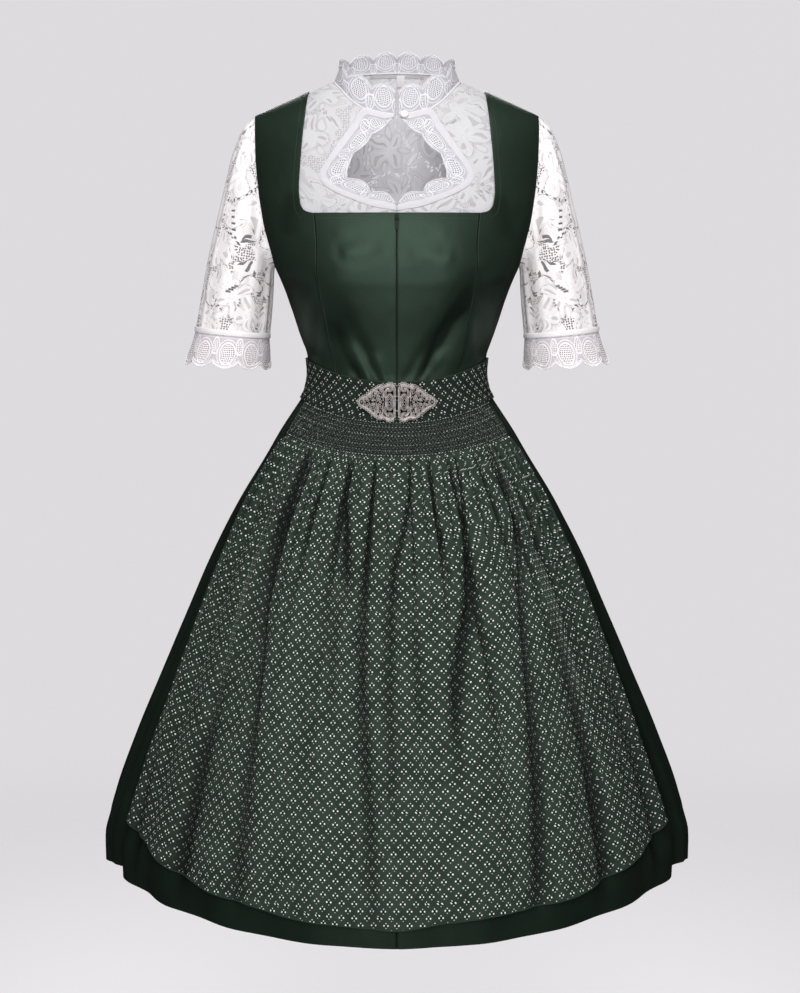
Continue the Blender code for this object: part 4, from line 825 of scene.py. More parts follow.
def sidePanel(seam, ahead):
    # heights from the waist to the shoulder; each row from the seam or strap edge to the side or armhole
    z = np.append(np.linspace(bodice["waist"], bodice["neckline"], 160), np.linspace(-0.1509, 0.018, 300))
    x = np.where(z < bodice["neckline"] + 1e-6, readTable(seam, "x", z), readTable(strapEdge, "x", z))
    start, height = chart(x, z, ahead)
    height[-1] = 1.0
    low = np.linspace(height[0], height[159], bodice["rows"] - 10)
    high = np.linspace(height[160], 1.0, 50)
    turnIn = np.linspace(height[160], height[190], 14)
    level = np.unique(np.concatenate([low, high, turnIn]))
    start = np.interp(level, height, start)
    end = armholeTurn(figure["chest"] + np.minimum(level, 0))
    end = np.where(level > 0, figure["holeTurn"], end)
    angle = blendColumns(start, end if ahead else -end, steps(bodice["columns"], 0.012))
    return angle, np.repeat(level[:, None], angle.shape[1], axis=1)


def bodicePiece(name, angle, height, lines, flip, node):
    # panel + rolled edges + drag lines + a fine unevenness, kept clear of the blouse under it, with
    #     # painted shade in the troughs and along the edges
    plain, normal = onForm(angle, height)
    folds = creaseField(plain[..., 0] * flip, plain[..., 2], lines)
    fine = 0.00035 * wander(plain[..., 0] * 60 * flip, 1.3) * wander(plain[..., 2] * 45, 2.1)
    lift = rollEdges(plain, "left right last", 0.35 * mm, 1.2 * mm) + folds + fine
    lift = np.maximum(lift, -0.0055 + 0.0042 * smoothStep(-0.3, -0.268, plain[..., 2]))
    point = plain + normal * lift[..., None]
    # painted shade: darker in the drag lines' troughs, and at least 0.55 along every panel edge where the
    # seams lie
    shade = np.clip(-folds / 0.0045, 0, 1) * 0.85
    shade[:, [0, 1, -2, -1]] = np.maximum(shade[:, [0, 1, -2, -1]], 0.55)
    piece = sheetPiece(name, point, clothUv(point), normal, bodice["wall"], "sateen", "sateen", node,
            flip=flip, fold=shade)
    declare(plain)


def buildBodice():
    # each panel on both sides, then the centre back as one
    for side, flip in halves:
        for name, node, grid, lines in (
                ("bodiceCentreFront_", "bodice_centre_front_", middlePanel(frontSeam, True), dragLines),
                ("bodiceSideFront_", "bodice_side_front_", sidePanel(frontSeam, True), dragLines),
                ("bodiceSideBack_", "bodice_side_back_", sidePanel(backSeam, False), backLines)):
            bodicePiece(name + side, *grid, lines, flip, node + side)
    angle, height = middlePanel(backSeam, False)
    whole = np.concatenate([-math.pi - angle[:, :0:-1], angle], axis=1)
    bodicePiece("bodiceCentreBack", whole, np.concatenate([height[:, :0:-1], height], axis=1), backLines, 1,
            "bodice_centre_back")


stitching = {"long": 2.1 * mm, "thick": 0.3 * mm, "neckInset": 7.2 * mm, "seamInset": 2.4 * mm}


def stitchesAlong(path, normal, pitch=2.9 * mm):
    # small capsules every pitch along a path, lying along it: centre, (across, out, along) axes
    run = arcs(path, 0)
    at = np.arange(pitch / 2, run[-1], pitch)
    out = unit(follow(normal, run, at))
    ahead = unit(follow(path, run, at + 0.5 * mm) - follow(path, run, at - 0.5 * mm))
    return follow(path, run, at) + out * 0.1 * mm, np.stack([np.cross(out, ahead), out, ahead], axis=1)


def buildStitching():
    # rows beside the princess seams and under the neckline, front and back, and round the straps
    found = []
    z = np.linspace(-0.352, -0.153, 160)
    x = np.linspace(0.004, 0.107, 90)
    edge = np.linspace(-0.1497, 0.012, 160)
    inset = stitching["neckInset"]
    strap = readTable(strapEdge, "x", edge) + inset, edge - inset * smoothStep(-0.125, -0.1497, edge)
    for seam, ahead in ((frontSeam, True), (backSeam, False)):
        for flip in (1, -1):
            inner = readTable(seam, "x", z) - stitching["seamInset"]
            for row in ((inner, z), (x, np.full_like(x, bodice["neckline"] - inset)), strap):
                path, normal = onForm(*chart(*row, ahead))
                found.append(stitchesAlong(path * [flip, 1, 1], normal * [flip, 1, 1]))
    centres, axes = (np.concatenate(part) for part in zip(*found))
    size = [stitching["thick"], stitching["thick"] * 0.8, stitching["long"] / 2]
    dress(beads("bodiceStitching", centres, axes, size, 4, 6), "stitchGreen", "sateen")


zipDesign = {"from": -0.157, "to": -0.368, "pitch": 1.35 * mm, "tooth": 1.5 * mm, "tape": 5.5 * mm}


def buildZip():
    # teeth: small blocks left and right in turn, just behind the fronts' folded edges, on a tape
    z = np.arange(zipDesign["to"], zipDesign["from"], zipDesign["pitch"])
    point, normal = onForm(*chart(np.zeros_like(z), z))
    side = np.where(np.arange(len(z)) % 2 == 0, 1, -1)
    centre = point - normal * 1.0 * mm + pack(side * 0.32 * mm, 0 * z, 0 * z)
    across = np.tile([1.0, 0, 0], (len(z), 1))
    up = np.cross(across, normal)
    axes = np.stack([across, normal, up], axis=1)
    teeth = beads("zipTeeth", centre, axes, [zipDesign["tooth"] / 2, 0.5 * mm, 0.42 * mm], 4, 6)
    dress(teeth, "zipCoil", "zip_metal")
    z = np.linspace(zipDesign["to"], zipDesign["from"], 60)
    x = np.linspace(-1, 1, 7) * zipDesign["tape"]
    point, normal = onForm(*chart(*np.meshgrid(x, z)))
    tape = point - normal * 2.0 * mm
    piece = sheetPiece("zipTape", tape, clothUv(tape), normal, 0.3 * mm, "sateen", "sateen")
    declare(tape)
    for node in ("zip_slider", "zip_pull"):
        paint(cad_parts[node], "zip")


skirt = {"waist": -0.378, "hem": -1.057, "rows": 80, "columns": 104, "wall": 1.2 * mm}
# gathers under the waist seam: degrees from the centre front, height of start and end, size in degrees
skirtGathers = table("u0 v0.mm u1 v1.mm wide deep.mm spread", (
    (72, -400, 73, -560, 1.5, -3.4, 2), (80, -398, 82, -520, 1.3, -2.8, 1.8),
    (88, -400, 88, -640, 1.7, -4, 2.2), (97, -399, 98, -545, 1.4, -3, 1.9),
    (104, -400, 107, -610, 1.5, -3.6, 2.1), (113, -399, 112, -530, 1.3, -2.8, 1.7),
    (120, -400, 122, -660, 1.7, -4.2, 2.2), (129, -400, 129, -555, 1.4, -3.1, 1.8),
    (137, -399, 138, -620, 1.6, -3.7, 2), (146, -400, 145, -530, 1.3, -2.8, 1.8),
    (153, -400, 155, -640, 1.7, -4, 2.2), (162, -399, 162, -560, 1.4, -3.1, 1.9),
    (170, -400, 171, -600, 1.5, -3.6, 2), (178, -399, 178, -540, 1.4, -3, 1.8),
))


# long folds of the skirt's sides and back, by degrees from the centre front on either side
skirtFolds = table("fold z.mm turn wide deep.mm", (
    (1, -1040, 77, 1.8, -3), (1, -900, 77.5, 1.6, -7), (1, -720, 78.5, 1.5, -6), (1, -560, 79, 1.3, 0),
    (2, -1040, 92, 2, -4), (2, -880, 91, 1.7, -8), (2, -700, 90, 1.6, -7), (2, -500, 89, 1.3, 0),
    (3, -980, 105, 1.6, 0), (3, -860, 105.5, 1.6, -5.5), (3, -740, 106.5, 1.5, -5),
    (3, -600, 107, 1.3, 0), (4, -1040, 120, 2.1, -5), (4, -900, 119.5, 1.8, -8.5),
    (4, -700, 121, 1.6, -7.5), (4, -480, 122, 1.3, 0), (5, -1030, 136, 1.8, -3),
    (5, -840, 135, 1.6, -6.5), (5, -680, 136.5, 1.5, -5.5), (5, -540, 137, 1.3, 0),
    (6, -1040, 151, 2, -4.5), (6, -880, 152, 1.8, -8), (6, -690, 154, 1.6, -7), (6, -490, 155, 1.3, 0),
    (7, -1000, 168, 1.7, -2), (7, -860, 167, 1.6, -6), (7, -700, 168.5, 1.5, -5.5),
    (7, -560, 170, 1.3, 0), (8, -1000, 84.5, 4, 2), (8, -800, 84, 3.6, 2.5), (8, -560, 84, 3, 0),
    (9, -1000, 112.5, 4, 2), (9, -800, 113, 3.6, 2.5), (9, -560, 114, 3, 0), (10, -1000, 143.5, 4, 2),
    (10, -800, 144, 3.6, 2.5), (10, -560, 145, 3, 0), (11, -1000, 176, 4, 1.6), (11, -800, 177, 3.6, 2),
    (11, -560, 178, 3, 0),
))


def frontDegrees(angle):
    # degrees from the centre front, positive towards +X, -180 to 180
    return np.mod(90 - np.degrees(angle) + 180, 360) - 180


def skirtLift(angle, height):
    # gathers and long folds mirrored unevenly, slow wrinkles, and the apron's valleys pressed into the
    # front, which fade before the hem
    turn = frontDegrees(angle)
    field = creaseField(np.abs(turn) + 1.5 * (turn < 0), height, skirtGathers)
    far = foldField(np.abs(turn) + 2.5 * (turn < 0), height + 0.03 * (turn < 0), skirtFolds)
    puff = 0.0016 * smoothStep(-0.405, -0.47, height) * (1 - smoothStep(-0.5, -0.7, height))
    slow = 0.0011 * wander(turn * 0.16, 0.7) * wander(height * 9 + turn * 0.05, 1.9)
    press = np.minimum(foldField(turn, height, apronFolds), 0) * smoothStep(-1.05, -0.99, height)
    beyond = smoothStep(66, 72, np.abs(turn))
    return (field + far + puff + slow * smoothStep(-0.46, -0.6, height)) * beyond \
        + (press + slow * smoothStep(-0.9, -1.0, height)) * (1 - beyond)


def buildSkirt():
    # a quarter each: angle share x height share, heights closer together at both ends
    share = steps(skirt["rows"], 0.0015)
    for number, name in enumerate(("front_right", "front_left", "back_left", "back_right")):
        angle, level = np.meshgrid((number + steps(skirt["columns"], 0.004)) * math.pi / 2, share)
        hem = skirt["hem"] + readTable(hemRise, "rise", np.abs(frontDegrees(angle)))
        height = skirt["waist"] + (hem - skirt["waist"]) * level
        plain, normal = onForm(angle, height, skirtForm, None)
        roll = rollEdges(plain, "left right", 0.9 * mm, 2.2 * mm)
        hemFold = -0.001 * np.exp(-((height - hem - 0.032) / 0.0016) ** 2)
        lift = skirtLift(angle, height)
        point = plain + normal * (lift + roll + hemFold)[..., None]
        # the fold attribute is painted shade, darker in the skirt's troughs
        piece = sheetPiece("skirtPanel_" + name, point, clothUv(plain), normal, skirt["wall"], "skirtSateen",
                "sateen", "skirt_" + name, fold=np.clip(-lift / 0.0085, 0, 1) * 0.7)
        declare(plain)


apron = {"reach": 67.5, "top": -0.4489, "rows": 160, "columns": 262, "wall": 0.9 * mm}
apronHem = table("angle z.mm", (
    (-68, -969), (-57, -985), (-48, -1000), (-38, -1011), (-29, -1018), (-20, -1026), (-9, -1030),
    (0, -1033), (8, -1027), (16, -1023), (27, -1019), (38, -1012), (48, -999), (57, -986), (68, -969),
))
gatherPuff = table("height.mm lift.mm", (
    (-1040, 0.8), (-860, 1.4), (-700, 2.8), (-600, 5), (-530, 8), (-485, 7.6), (-462, 5), (-449, 0),
))
# gathers: degrees and height of the start and the end, half width in degrees, depth as a share of the
# puff, and how far the width spreads
gathers = table("u0 v0.mm u1 v1.mm wide deep spread", (
    (-66, -447, -67, -500, 0.74, -0.86, 0.9), (-63, -447, -64.5, -530, 0.62, -0.98, 1.4),
    (-59, -448, -59.5, -505, 0.56, -0.8, 1.2), (-55.4, -447, -55.6, -545, 0.62, -1.03, 1.5),
    (-50.5, -448, -49.5, -500, 0.56, -0.75, 1.2), (-45, -447, -40.6, -640, 0.81, -1.3, 2),
    (-40.5, -448, -37.6, -512, 0.56, -0.92, 1.2), (-35, -448, -33.5, -520, 0.56, -0.75, 1.2),
    (-29.2, -447, -31.2, -545, 0.62, -1.03, 1.5), (-25, -448, -24.5, -500, 0.5, -0.69, 1.2),
    (-20.5, -447, -18, -600, 0.74, -1.21, 1.8), (-14.5, -448, -14.5, -510, 0.5, -0.71, 1.2),
    (-8.9, -447, -8, -625, 0.74, -1.3, 2), (-3, -448, -2.6, -530, 0.56, -0.8, 1.4),
    (4.9, -448, 4.7, -590, 0.68, -1.3, 2.5), (9.8, -448, 9.4, -505, 0.5, -0.69, 1.2),
    (13.9, -447, 12.8, -560, 0.62, -1.03, 1.5), (18.6, -448, 18, -510, 0.5, -0.71, 1.2),
    (23.4, -447, 21.8, -630, 0.74, -1.3, 2), (30.5, -448, 30, -520, 0.56, -0.8, 1.4),
    (37.2, -447, 35.4, -530, 0.56, -0.92, 1.4), (43, -447, 45, -575, 0.68, -1.21, 1.7),
    (49.4, -447, 52.2, -530, 0.62, -1.03, 1.5), (55.4, -448, 57, -505, 0.56, -0.8, 1.2),
    (60.4, -447, 62.4, -550, 0.62, -1.09, 1.5), (65.4, -448, 66.4, -520, 0.56, -0.86, 1.2),
))
# long folds by degrees and height, from the lower end up; the last rows are broad ridges between them
apronFolds = table("fold z.mm turn wide deep.mm", (
    (1, -1005, -31.3, 2, -7), (1, -865, -32.4, 1.6, -9), (1, -740, -35.1, 1.5, -9.5),
    (1, -619, -40.1, 1.7, -10), (1, -545, -41.5, 1.8, -9.5), (1, -475, -43.5, 1.5, -3),
    (1, -450, -44.5, 1.4, 0), (2, -1000, -45.6, 2.4, -11), (2, -900, -45.8, 2.2, -11),
    (2, -800, -46.2, 1.6, -8), (2, -700, -47.2, 1.4, -3), (2, -650, -47.5, 1.2, 0),
    (3, -970, -62.5, 1.7, -7), (3, -900, -64, 1.5, -5.5), (3, -820, -65, 1.3, 0),
    (4, -660, -13.4, 1.4, 0), (4, -600, -14.8, 2, -7.5), (4, -550, -16.5, 2.2, -8.5),
    (4, -495, -19.5, 1.8, -4), (4, -455, -21, 1.3, 0), (5, -810, -15.2, 1.3, 0),
    (5, -740, -15.6, 1.4, -5.5), (5, -680, -16.2, 1.4, -6), (5, -610, -16.5, 1.3, 0),
    (6, -1000, -5, 1.7, -3), (6, -960, -5.3, 1.6, -6), (6, -870, -6.3, 1.4, -8.5),
    (6, -770, -7.9, 1.3, -8.5), (6, -650, -9.3, 1.4, -8), (6, -560, -8.9, 1.5, -8.5),
    (6, -490, -8.9, 1.4, -5), (6, -452, -8.8, 1.2, 0), (7, -930, -0.9, 1.2, 0), (7, -880, -1, 1.3, -4.5),
    (7, -750, -1.7, 1.2, -7), (7, -660, -1.6, 1.3, -8), (7, -600, -0.9, 1.4, -8), (7, -540, 2.5, 1.6, -7),
    (7, -486, 4.8, 1.6, -5), (7, -452, 5, 1.3, 0), (8, -820, 5.6, 1.3, 0), (8, -760, 5.3, 1.4, -5),
    (8, -700, 4.9, 1.4, -5), (8, -650, 4.8, 1.2, 0), (9, -640, 15.4, 1.2, 0), (9, -598, 14.8, 1.4, -5),
    (9, -547, 13.8, 1.5, -7.5), (9, -496, 12.9, 1.4, -4.5), (9, -455, 12.8, 1.2, 0),
    (10, -870, 12.8, 1.4, 0), (10, -800, 13.2, 1.7, -7), (10, -747, 14.3, 2, -10.5),
    (10, -689, 16.8, 2.1, -11.5), (10, -645, 20, 2, -11.5), (10, -607, 21.3, 1.8, -11.5),
    (10, -550, 23, 1.7, -10), (10, -490, 25.4, 1.5, -5.5), (10, -452, 26.2, 1.3, 0),
    (11, -820, 23.6, 1.2, 0), (11, -768, 23.5, 1.3, -5), (11, -700, 23, 1.3, -7.5),
    (11, -660, 22, 1.3, -5), (11, -630, 21.6, 1.2, 0), (12, -1015, 27.2, 1.8, -8),
    (12, -938, 29, 1.8, -11), (12, -873, 30.3, 1.7, -11), (12, -770, 32.6, 1.5, -10.5),
    (12, -669, 35.8, 1.5, -9), (12, -577, 42.2, 1.6, -8.5), (12, -523, 44.7, 1.5, -6),
    (12, -460, 46.5, 1.3, 0), (13, -1000, 43.2, 2.1, -11), (13, -909, 44.5, 2, -11.5),
    (13, -841, 45.6, 1.7, -10), (13, -768, 46.1, 1.5, -8.5), (13, -700, 46.7, 1.4, -6.5),
    (13, -640, 46.4, 1.2, 0), (14, -980, 61.8, 1.8, -8.5), (14, -920, 62.2, 1.7, -8.5),
    (14, -820, 62.7, 1.5, -7.5), (14, -760, 63.1, 1.4, -5), (14, -700, 64.3, 1.2, 0),
    (15, -620, 48, 1.2, 0), (15, -580, 49.7, 1.4, -5), (15, -530, 55.5, 1.5, -5.5),
    (15, -460, 58, 1.2, 0), (16, -620, -56, 1.3, 0), (16, -550, -57, 1.5, -5),
    (16, -490, -58.5, 1.4, -3.5), (16, -455, -59, 1.2, 0), (17, -980, -24.5, 4, 0),
    (17, -840, -25.5, 5, 3), (17, -700, -29.5, 5, 3.4), (17, -580, -31, 3.5, 0), (18, -1010, -10, 2.6, 1),
    (18, -850, -10.8, 2.6, 3), (18, -680, -13, 2.6, 3), (18, -600, -13, 2, 0), (19, -660, -4.2, 2, 0),
    (19, -600, -4.3, 2.2, 2.6), (19, -510, -5.3, 2, 2.6), (19, -455, -5.5, 1.6, 0),
    (20, -800, 10.5, 3, 0), (20, -690, 11.6, 3.2, 2.8), (20, -585, 14, 2.6, 2.6), (20, -520, 14.5, 2, 0),
    (21, -1010, 15, 3.4, 1.2), (21, -950, 15.7, 3.6, 3), (21, -765, 19.4, 3.2, 3.4), (21, -640, 29, 3, 3),
    (21, -560, 30, 2.6, 0), (22, -1010, 35.5, 3.8, 2.4), (22, -850, 38, 3.6, 3.4), (22, -700, 41, 2.8, 2),
    (22, -600, 43, 2.4, 0), (23, -1000, -38, 3.6, 2.4), (23, -860, -40, 3.2, 3.4),
    (23, -720, -42, 2.6, 0), (24, -930, 2.8, 1.8, 0), (24, -845, 2.8, 2, 2.6), (24, -673, 1.6, 1.8, 2.4),
    (24, -600, 1.4, 1.6, 0), (25, -985, -54, 4.2, 2.6), (25, -880, -55, 4, 2.6), (25, -720, -56, 3.2, 0),
    (26, -985, 53.5, 4.2, 2.6), (26, -880, 54.5, 4, 2.6), (26, -720, 56, 3.2, 0),
))


def apronLift(turn, height, hem):
    # base + puff * (1 + gathers) + long folds + a turned hem; never under the skirt with its own valleys;
    #     # also the painted shade of the valleys, valley lines and gathers
    puff = readTable(gatherPuff, "lift", height)
    cut = np.maximum(creaseField(turn, height, gathers), -1.0)
    folds = foldField(turn, height, apronFolds)
    slow = 0.0007 * wander(turn * 0.35, 2.2) * wander(height * 16 + turn * 0.03, 0.4)
    hemRoll = 0.0007 * smoothStep(0.006, 0.002, height - hem)
    lift = skirtCut["apronLift"] + puff * (1 + cut) + folds + slow * smoothStep(-0.46, -0.5, height) + hemRoll
    under = np.minimum(folds, 0) * smoothStep(-1.05, -0.99, height)
    join = smoothStep(-0.4495, -0.4535, height)
    thin = valleyLines(turn, height, apronFolds) * smoothStep(-0.68, -0.52, height)
    lift = lift - 0.0012 * thin
    # painted shade: darker in the long valleys, along the valley lines at the top and in the gathers
    valley = np.clip(-np.minimum(folds, 0) / 0.009, 0, 1) ** 1.1 * 0.8
    shade = thin * 0.62 + valley + np.clip(-cut * puff / 0.007, 0, 1) ** 1.5 * 0.85
    return np.maximum(lift, under + 0.002) * join + 0.0024 * (1 - join), np.clip(shade * join, 0, 0.9)


# the crest lines that the cloth's threads follow, degrees at four heights from the top to the hem
crests = {
    "z": (-0.47, -0.65, -0.85, -1.03),
    "lines": (
        (-68, -68, -68, -68), (-52, -54, -55, -54), (-46.5, -43.5, -39.5, -38), (-32, -28, -25, -22),
        (-14.5, -12, -10.8, -10), (-2.5, -5.2, -3.8, -2.5), (8.8, 1.7, 2.8, 4), (19, 11, 9, 10),
        (35, 29, 21, 18), (51, 41.5, 38, 35), (61, 56, 54, 53), (68, 68, 68, 68),
    ),
}


def apronCloth(plain, point, turn, height):
    # u = thread position. Between two crests it runs along the folded row, and what is missing to the
    # strip's width at the hem is swallowed by the valleys and gathers in that strip
    middle, level = (turn[:, 1:] + turn[:, :-1]) / 2, height[:, 1:]
    wider = 1 - 0.38 * smoothStep(28, 60, np.abs(middle))
    step = span(np.diff(point, axis=1)) * wider
    flat = span(np.diff(plain[-1], axis=0)) * wider[-1] * 1.05
    hemRun = np.concatenate([[0], np.cumsum(flat)])
    above = sum(np.exp(-((middle - spot) / 0.34) ** 2) for spot in gathers["u0"])
    weight = above * smoothStep(-0.5, -0.46, level) * 0.25 + valleyLines(middle, level, apronFolds) + 0.01
    at = [np.interp(-level, -np.array(crests["z"]), line) for line in crests["lines"]]
    for low, high, first, last in zip(at[:-1], at[1:], crests["lines"][:-1], crests["lines"][1:]):
        inside = (middle >= low) & (middle < high)
        target = np.interp(last[-1], turn[-1], hemRun) - np.interp(first[-1], turn[-1], hemRun)
        length = np.maximum((step * inside).sum(axis=1, keepdims=True), 0.001)
        share = weight * inside / np.maximum((weight * inside).sum(axis=1, keepdims=True), 1e-6)
        fitted = step * np.clip(target / length, 0.86, 1) + share * np.maximum(target - length, 0)
        step = np.where(inside, fitted, step)
    run = np.zeros_like(turn)
    run[:, 1:] = np.cumsum(step, axis=1)
    return pack(run, arcs(plain, 0))


def buildApron():
    # skirt form + apron lift from the band to its hem, the rows closer together at the top, and a hem cord
    turn = (steps(apron["columns"], 0.0015) * 2 - 1) * apron["reach"]
    turn, level = np.meshgrid(turn, steps(apron["rows"], 0.0012) ** 1.25)
    hem = readTable(apronHem, "z", turn)
    height = apron["top"] + (hem - apron["top"]) * level
    angle = math.pi / 2 - np.radians(turn)
    plain, normal = onForm(angle, height, skirtForm, None)
    lift, shade = apronLift(turn, height, hem)
    point = plain + normal * lift[..., None]
    piece = sheetPiece("apronPanel", point, apronCloth(plain, point, turn, height), normal, apron["wall"],
            "print", "apron_print", "apron_panel", fold=shade)
    hemLine = point[-1] + normal[-1] * 0.2 * mm
    edge = cordPiece("apronHemEdge", [hemLine[1:-1]], 0.9 * mm, "print", "apron_print")
    declare(plain)


smock = {
    "top": -0.4049, "foot": -0.4486, "rows": 7, "pleats": 104, "deep": 1.25 * mm, "columns": 572, "down": 44,
    "stitch": (0.74, 0.42, 1.1),
}
smockRows = table("at size", (
    (0.03, 1.05), (0.16, 0.85), (0.3, 0.62), (0.42, 0.95), (0.55, 0.62), (0.68, 0.85), (0.83, 0.7),
    (0.97, 1.15),
))


def buildSmocking():
    # lift = base + deep * (pinch + (1 - pinch) * |sin(row)|) * cos(pleat), pinched at each stitched row
    turn = np.linspace(-apron["reach"], apron["reach"], smock["columns"] + 1)
    share = np.linspace(0, 1, smock["down"] + 1)
    turn, level = np.meshgrid(turn, share)
    height = smock["top"] + (smock["foot"] - smock["top"]) * level
    angle = math.pi / 2 - np.radians(turn)
    plain, normal = onForm(angle, height, skirtForm, None)
    count = (turn / apron["reach"] + 1) / 2 * smock["pleats"]
    phase = count + 0.16 * wander(count * 0.7, 0.3) + 0.1 * wander(level * 9 + count * 0.2, 1.1)
    tall = 0.72 + 0.5 * hash01(np.floor(phase) + 31 * np.floor(level * smock["rows"]))
    between = np.abs(np.sin(level * smock["rows"] * math.pi))
    pinch = 0.3 + 0.7 * between ** 0.7
    lift = 2.3 * mm + 0.8 * mm * between + smock["deep"] * pinch * tall * np.cos(phase * 2 * math.pi)
    ends = smoothStep(0, 0.02, level) * (1 - smoothStep(0.98, 1, level))
    lift = 1.9 * mm + (lift - 1.9 * mm) * (0.35 + 0.65 * ends)
    point = plain + normal * np.maximum(lift, 0.9 * mm)[..., None]
    uv = clothUv(plain) * [3.3, 2.3] + 1.5 * mm * wander(phase * 0.8, 2.2)[..., None]
    piece = sheetPiece("apronSmockedBand", point, uv, normal, 0.0, "smockPrint", "apron_print",
            "apron_smocked_band")
    found = []
    for at, big in zip(*smockRows.values()):
        line = int(round(at * smock["down"]))
        out = normal[line][::2]
        centre, axes = stitchesAlong(point[line][::2] + out * 0.1 * mm, out, 5.6 * mm)
        size = np.array(smock["stitch"]) * mm * big * (0.7 + 0.5 * hash01(np.arange(len(centre)))[:, None])
        found.append((centre, axes, size))
    threads = beads("smockStitches", *(np.concatenate(part) for part in zip(*found)), 3, 5)
    dress(threads, "stitchSmock", "apron_print")


belt = {"top": -0.35, "foot": -0.4045, "columns": 150, "rows": 20, "wall": 1.4 * mm, "piping": 1.05 * mm}


def buildWaistband():
    # two halves round the waist with rolled edges, shallow drag wrinkles and piping on the top edge
    level = belt["top"] + (belt["foot"] - belt["top"]) * steps(belt["rows"], 0.012)
    for side, flip in halves:
        turn = math.pi / 2 - math.pi * steps(belt["columns"], 0.003)
        angle, height = np.meshgrid(turn, level - figure["chest"])
        plain, normal = onForm(angle, height, top=None)
        turn = np.degrees(math.pi / 2 - angle)
        slow = 0.00045 * wander(turn * 0.22 * flip, 1.1) * wander(height * 90 + turn * 0.06, 2.7)
        lift = skirtCut["beltLift"] + rollEdges(plain, "first last", 0.5 * mm, 1.6 * mm) + slow
        point = plain + normal * lift[..., None]
        piece = sheetPiece("apronWaistband_" + side, point, clothUv(point, flip), normal, belt["wall"],
                "beltPrint", "apron_print", "apron_waistband_" + side, flip=flip)
        point, outside = point * [flip, 1, 1], normal * [flip, 1, 1]
        line = point[0] + outside[0] * -0.1 * mm + [0, 0, 0.2 * mm]
        piping = cordPiece("waistPiping_" + side, [line], belt["piping"], "print", "apron_print", 8)
        foot = (point[-1] + outside[-1] * 0.2 * mm)[::2]
        lower = cordPiece("waistLowerEdge_" + side, [foot], 0.5 * mm, "smockPrint", "apron_print")
        declare(plain)


blouse = {"lift": -0.0036, "wall": 0.7 * mm, "hem": -0.262, "tape": 0.0098}
neckEdge = table("x.mm z.mm", ((88, 32.5), (78, 21.5), (63, 4.5), (46, -8.5)))
keyhole = table("x.mm z.mm hole_x.mm hole_z.mm", (
    (3, -17, 5, -22.5), (18, -15, 12, -26.5), (33, -11.5, 19, -32.5), (46, -8.5, 26.5, -39.5),
    (60, -29, 37, -50), (73.5, -49, 47, -60), (86, -68, 57, -71), (98, -86, 65, -83),
    (104.5, -100, 68, -94), (98.5, -112, 64, -102), (85, -121.5, 53, -108), (59, -133, 37, -118),
    (29, -143, 19, -127), (0.4, -148, 0.4, -136),
))
trimRise = table("run rise.mm", ((0, 5), (0.52, 5), (0.66, 10), (1, 10)))
cornerRow, neckRise = 3, 0.0155


def alongRows(rows, at):
    # a table read smoothly at part row numbers
    counted = {"row": np.arange(len(next(iter(rows.values()))), dtype=float), **rows}
    return {name: readTable(counted, name, at) for name in rows}


def arcFrom(angle, height, turning=True, count=18):
    # length on the form from the centre line to the angle, or from the chest line to the height
    start = np.where(np.sin(angle) >= 0, math.pi / 2, -math.pi / 2) if turning else np.zeros_like(height)
    end = angle if turning else height
    before, total = None, np.zeros_like(angle)
    for k in range(count + 1):
        at = start + (end - start) * k / count
        here = dressForm(at, height) if turning else dressForm(angle, at)
        if before is not None:
            total = total + span(here - before)
        before = here
    return total * np.sign(start - end if turning else end - start)


def formUv(angle, height, flip=1):
    # u = length round from the centre line, v = length up from the chest line
    return pack(arcFrom(angle, height) * flip, arcFrom(angle, height, False))


def blouseFrontGrid():
    # rows run from the neck and keyhole edge to the shoulder, armhole and side
    at = np.concatenate([np.linspace(0, 5, 20), np.linspace(5, 20, 62)[1:], np.linspace(20, 23, 10)[1:]])
    neck = alongRows(neckEdge, np.clip(at, 0, 5) / 5 * 3)
    hole = alongRows(keyhole, cornerRow + np.clip(at - 5, 0, 15) / 15 * 10)
    below = np.clip(at - 20, 0, 3)
    edgeX = np.where(at <= 5, neck["x"], np.where(at <= 20, hole["x"], 0.0002))
    centreZ = np.interp(below, range(4), [-0.148, -0.17, -0.215, -0.262])
    edgeZ = np.where(at <= 5, neck["z"], np.where(at <= 20, hole["z"], centreZ))
    start, startHeight = chart(edgeX, edgeZ)
    endZ = np.interp(below, range(4), [figure["chest"], -0.209, figure["underarm"], blouse["hem"]])
    endHeight = np.where(at <= 20, (1 - np.clip(at, 0, 20) / 20) ** 1.15, endZ - figure["chest"])
    end = np.where(at <= 20, figure["holeTurn"], armholeTurn(endZ))
    share = steps(46, 0.006)
    return blendColumns(start, end, share), blendColumns(startHeight, endHeight, share)


def buildBlouseFront():
    # figure + the blouse's lift + a slow unevenness where it shows + a rolled inner edge
    angle, height = blouseFrontGrid()
    plain, normal = onForm(angle, height)
    for side, flip in halves:
        slow = 0.0006 * wander(plain[..., 0] * 50 * flip + 1, 0.8) * wander(plain[..., 2] * 55, 1.6)
        shown = smoothStep(-0.15, -0.135, plain[..., 2])
        lift = blouse["lift"] + slow * shown + rollEdges(plain, "left", 0.4 * mm, 1.5 * mm)
        point, uv = plain + normal * lift[..., None], formUv(angle, height, flip)
        piece = sheetPiece("blouseFront_" + side, point, uv, normal, blouse["wall"], "yokeLace", "lace",
                "blouse_front_" + side, flip=flip)
        declare(plain)


def backNeck(count):
    # a quarter oval from the neck's side point to the centre back: x, z
    turn = np.linspace(0, math.pi / 2, count)
    return neckEdge["x"][0] * np.cos(turn), neckEdge["z"][0] + neckRise * np.sin(turn)


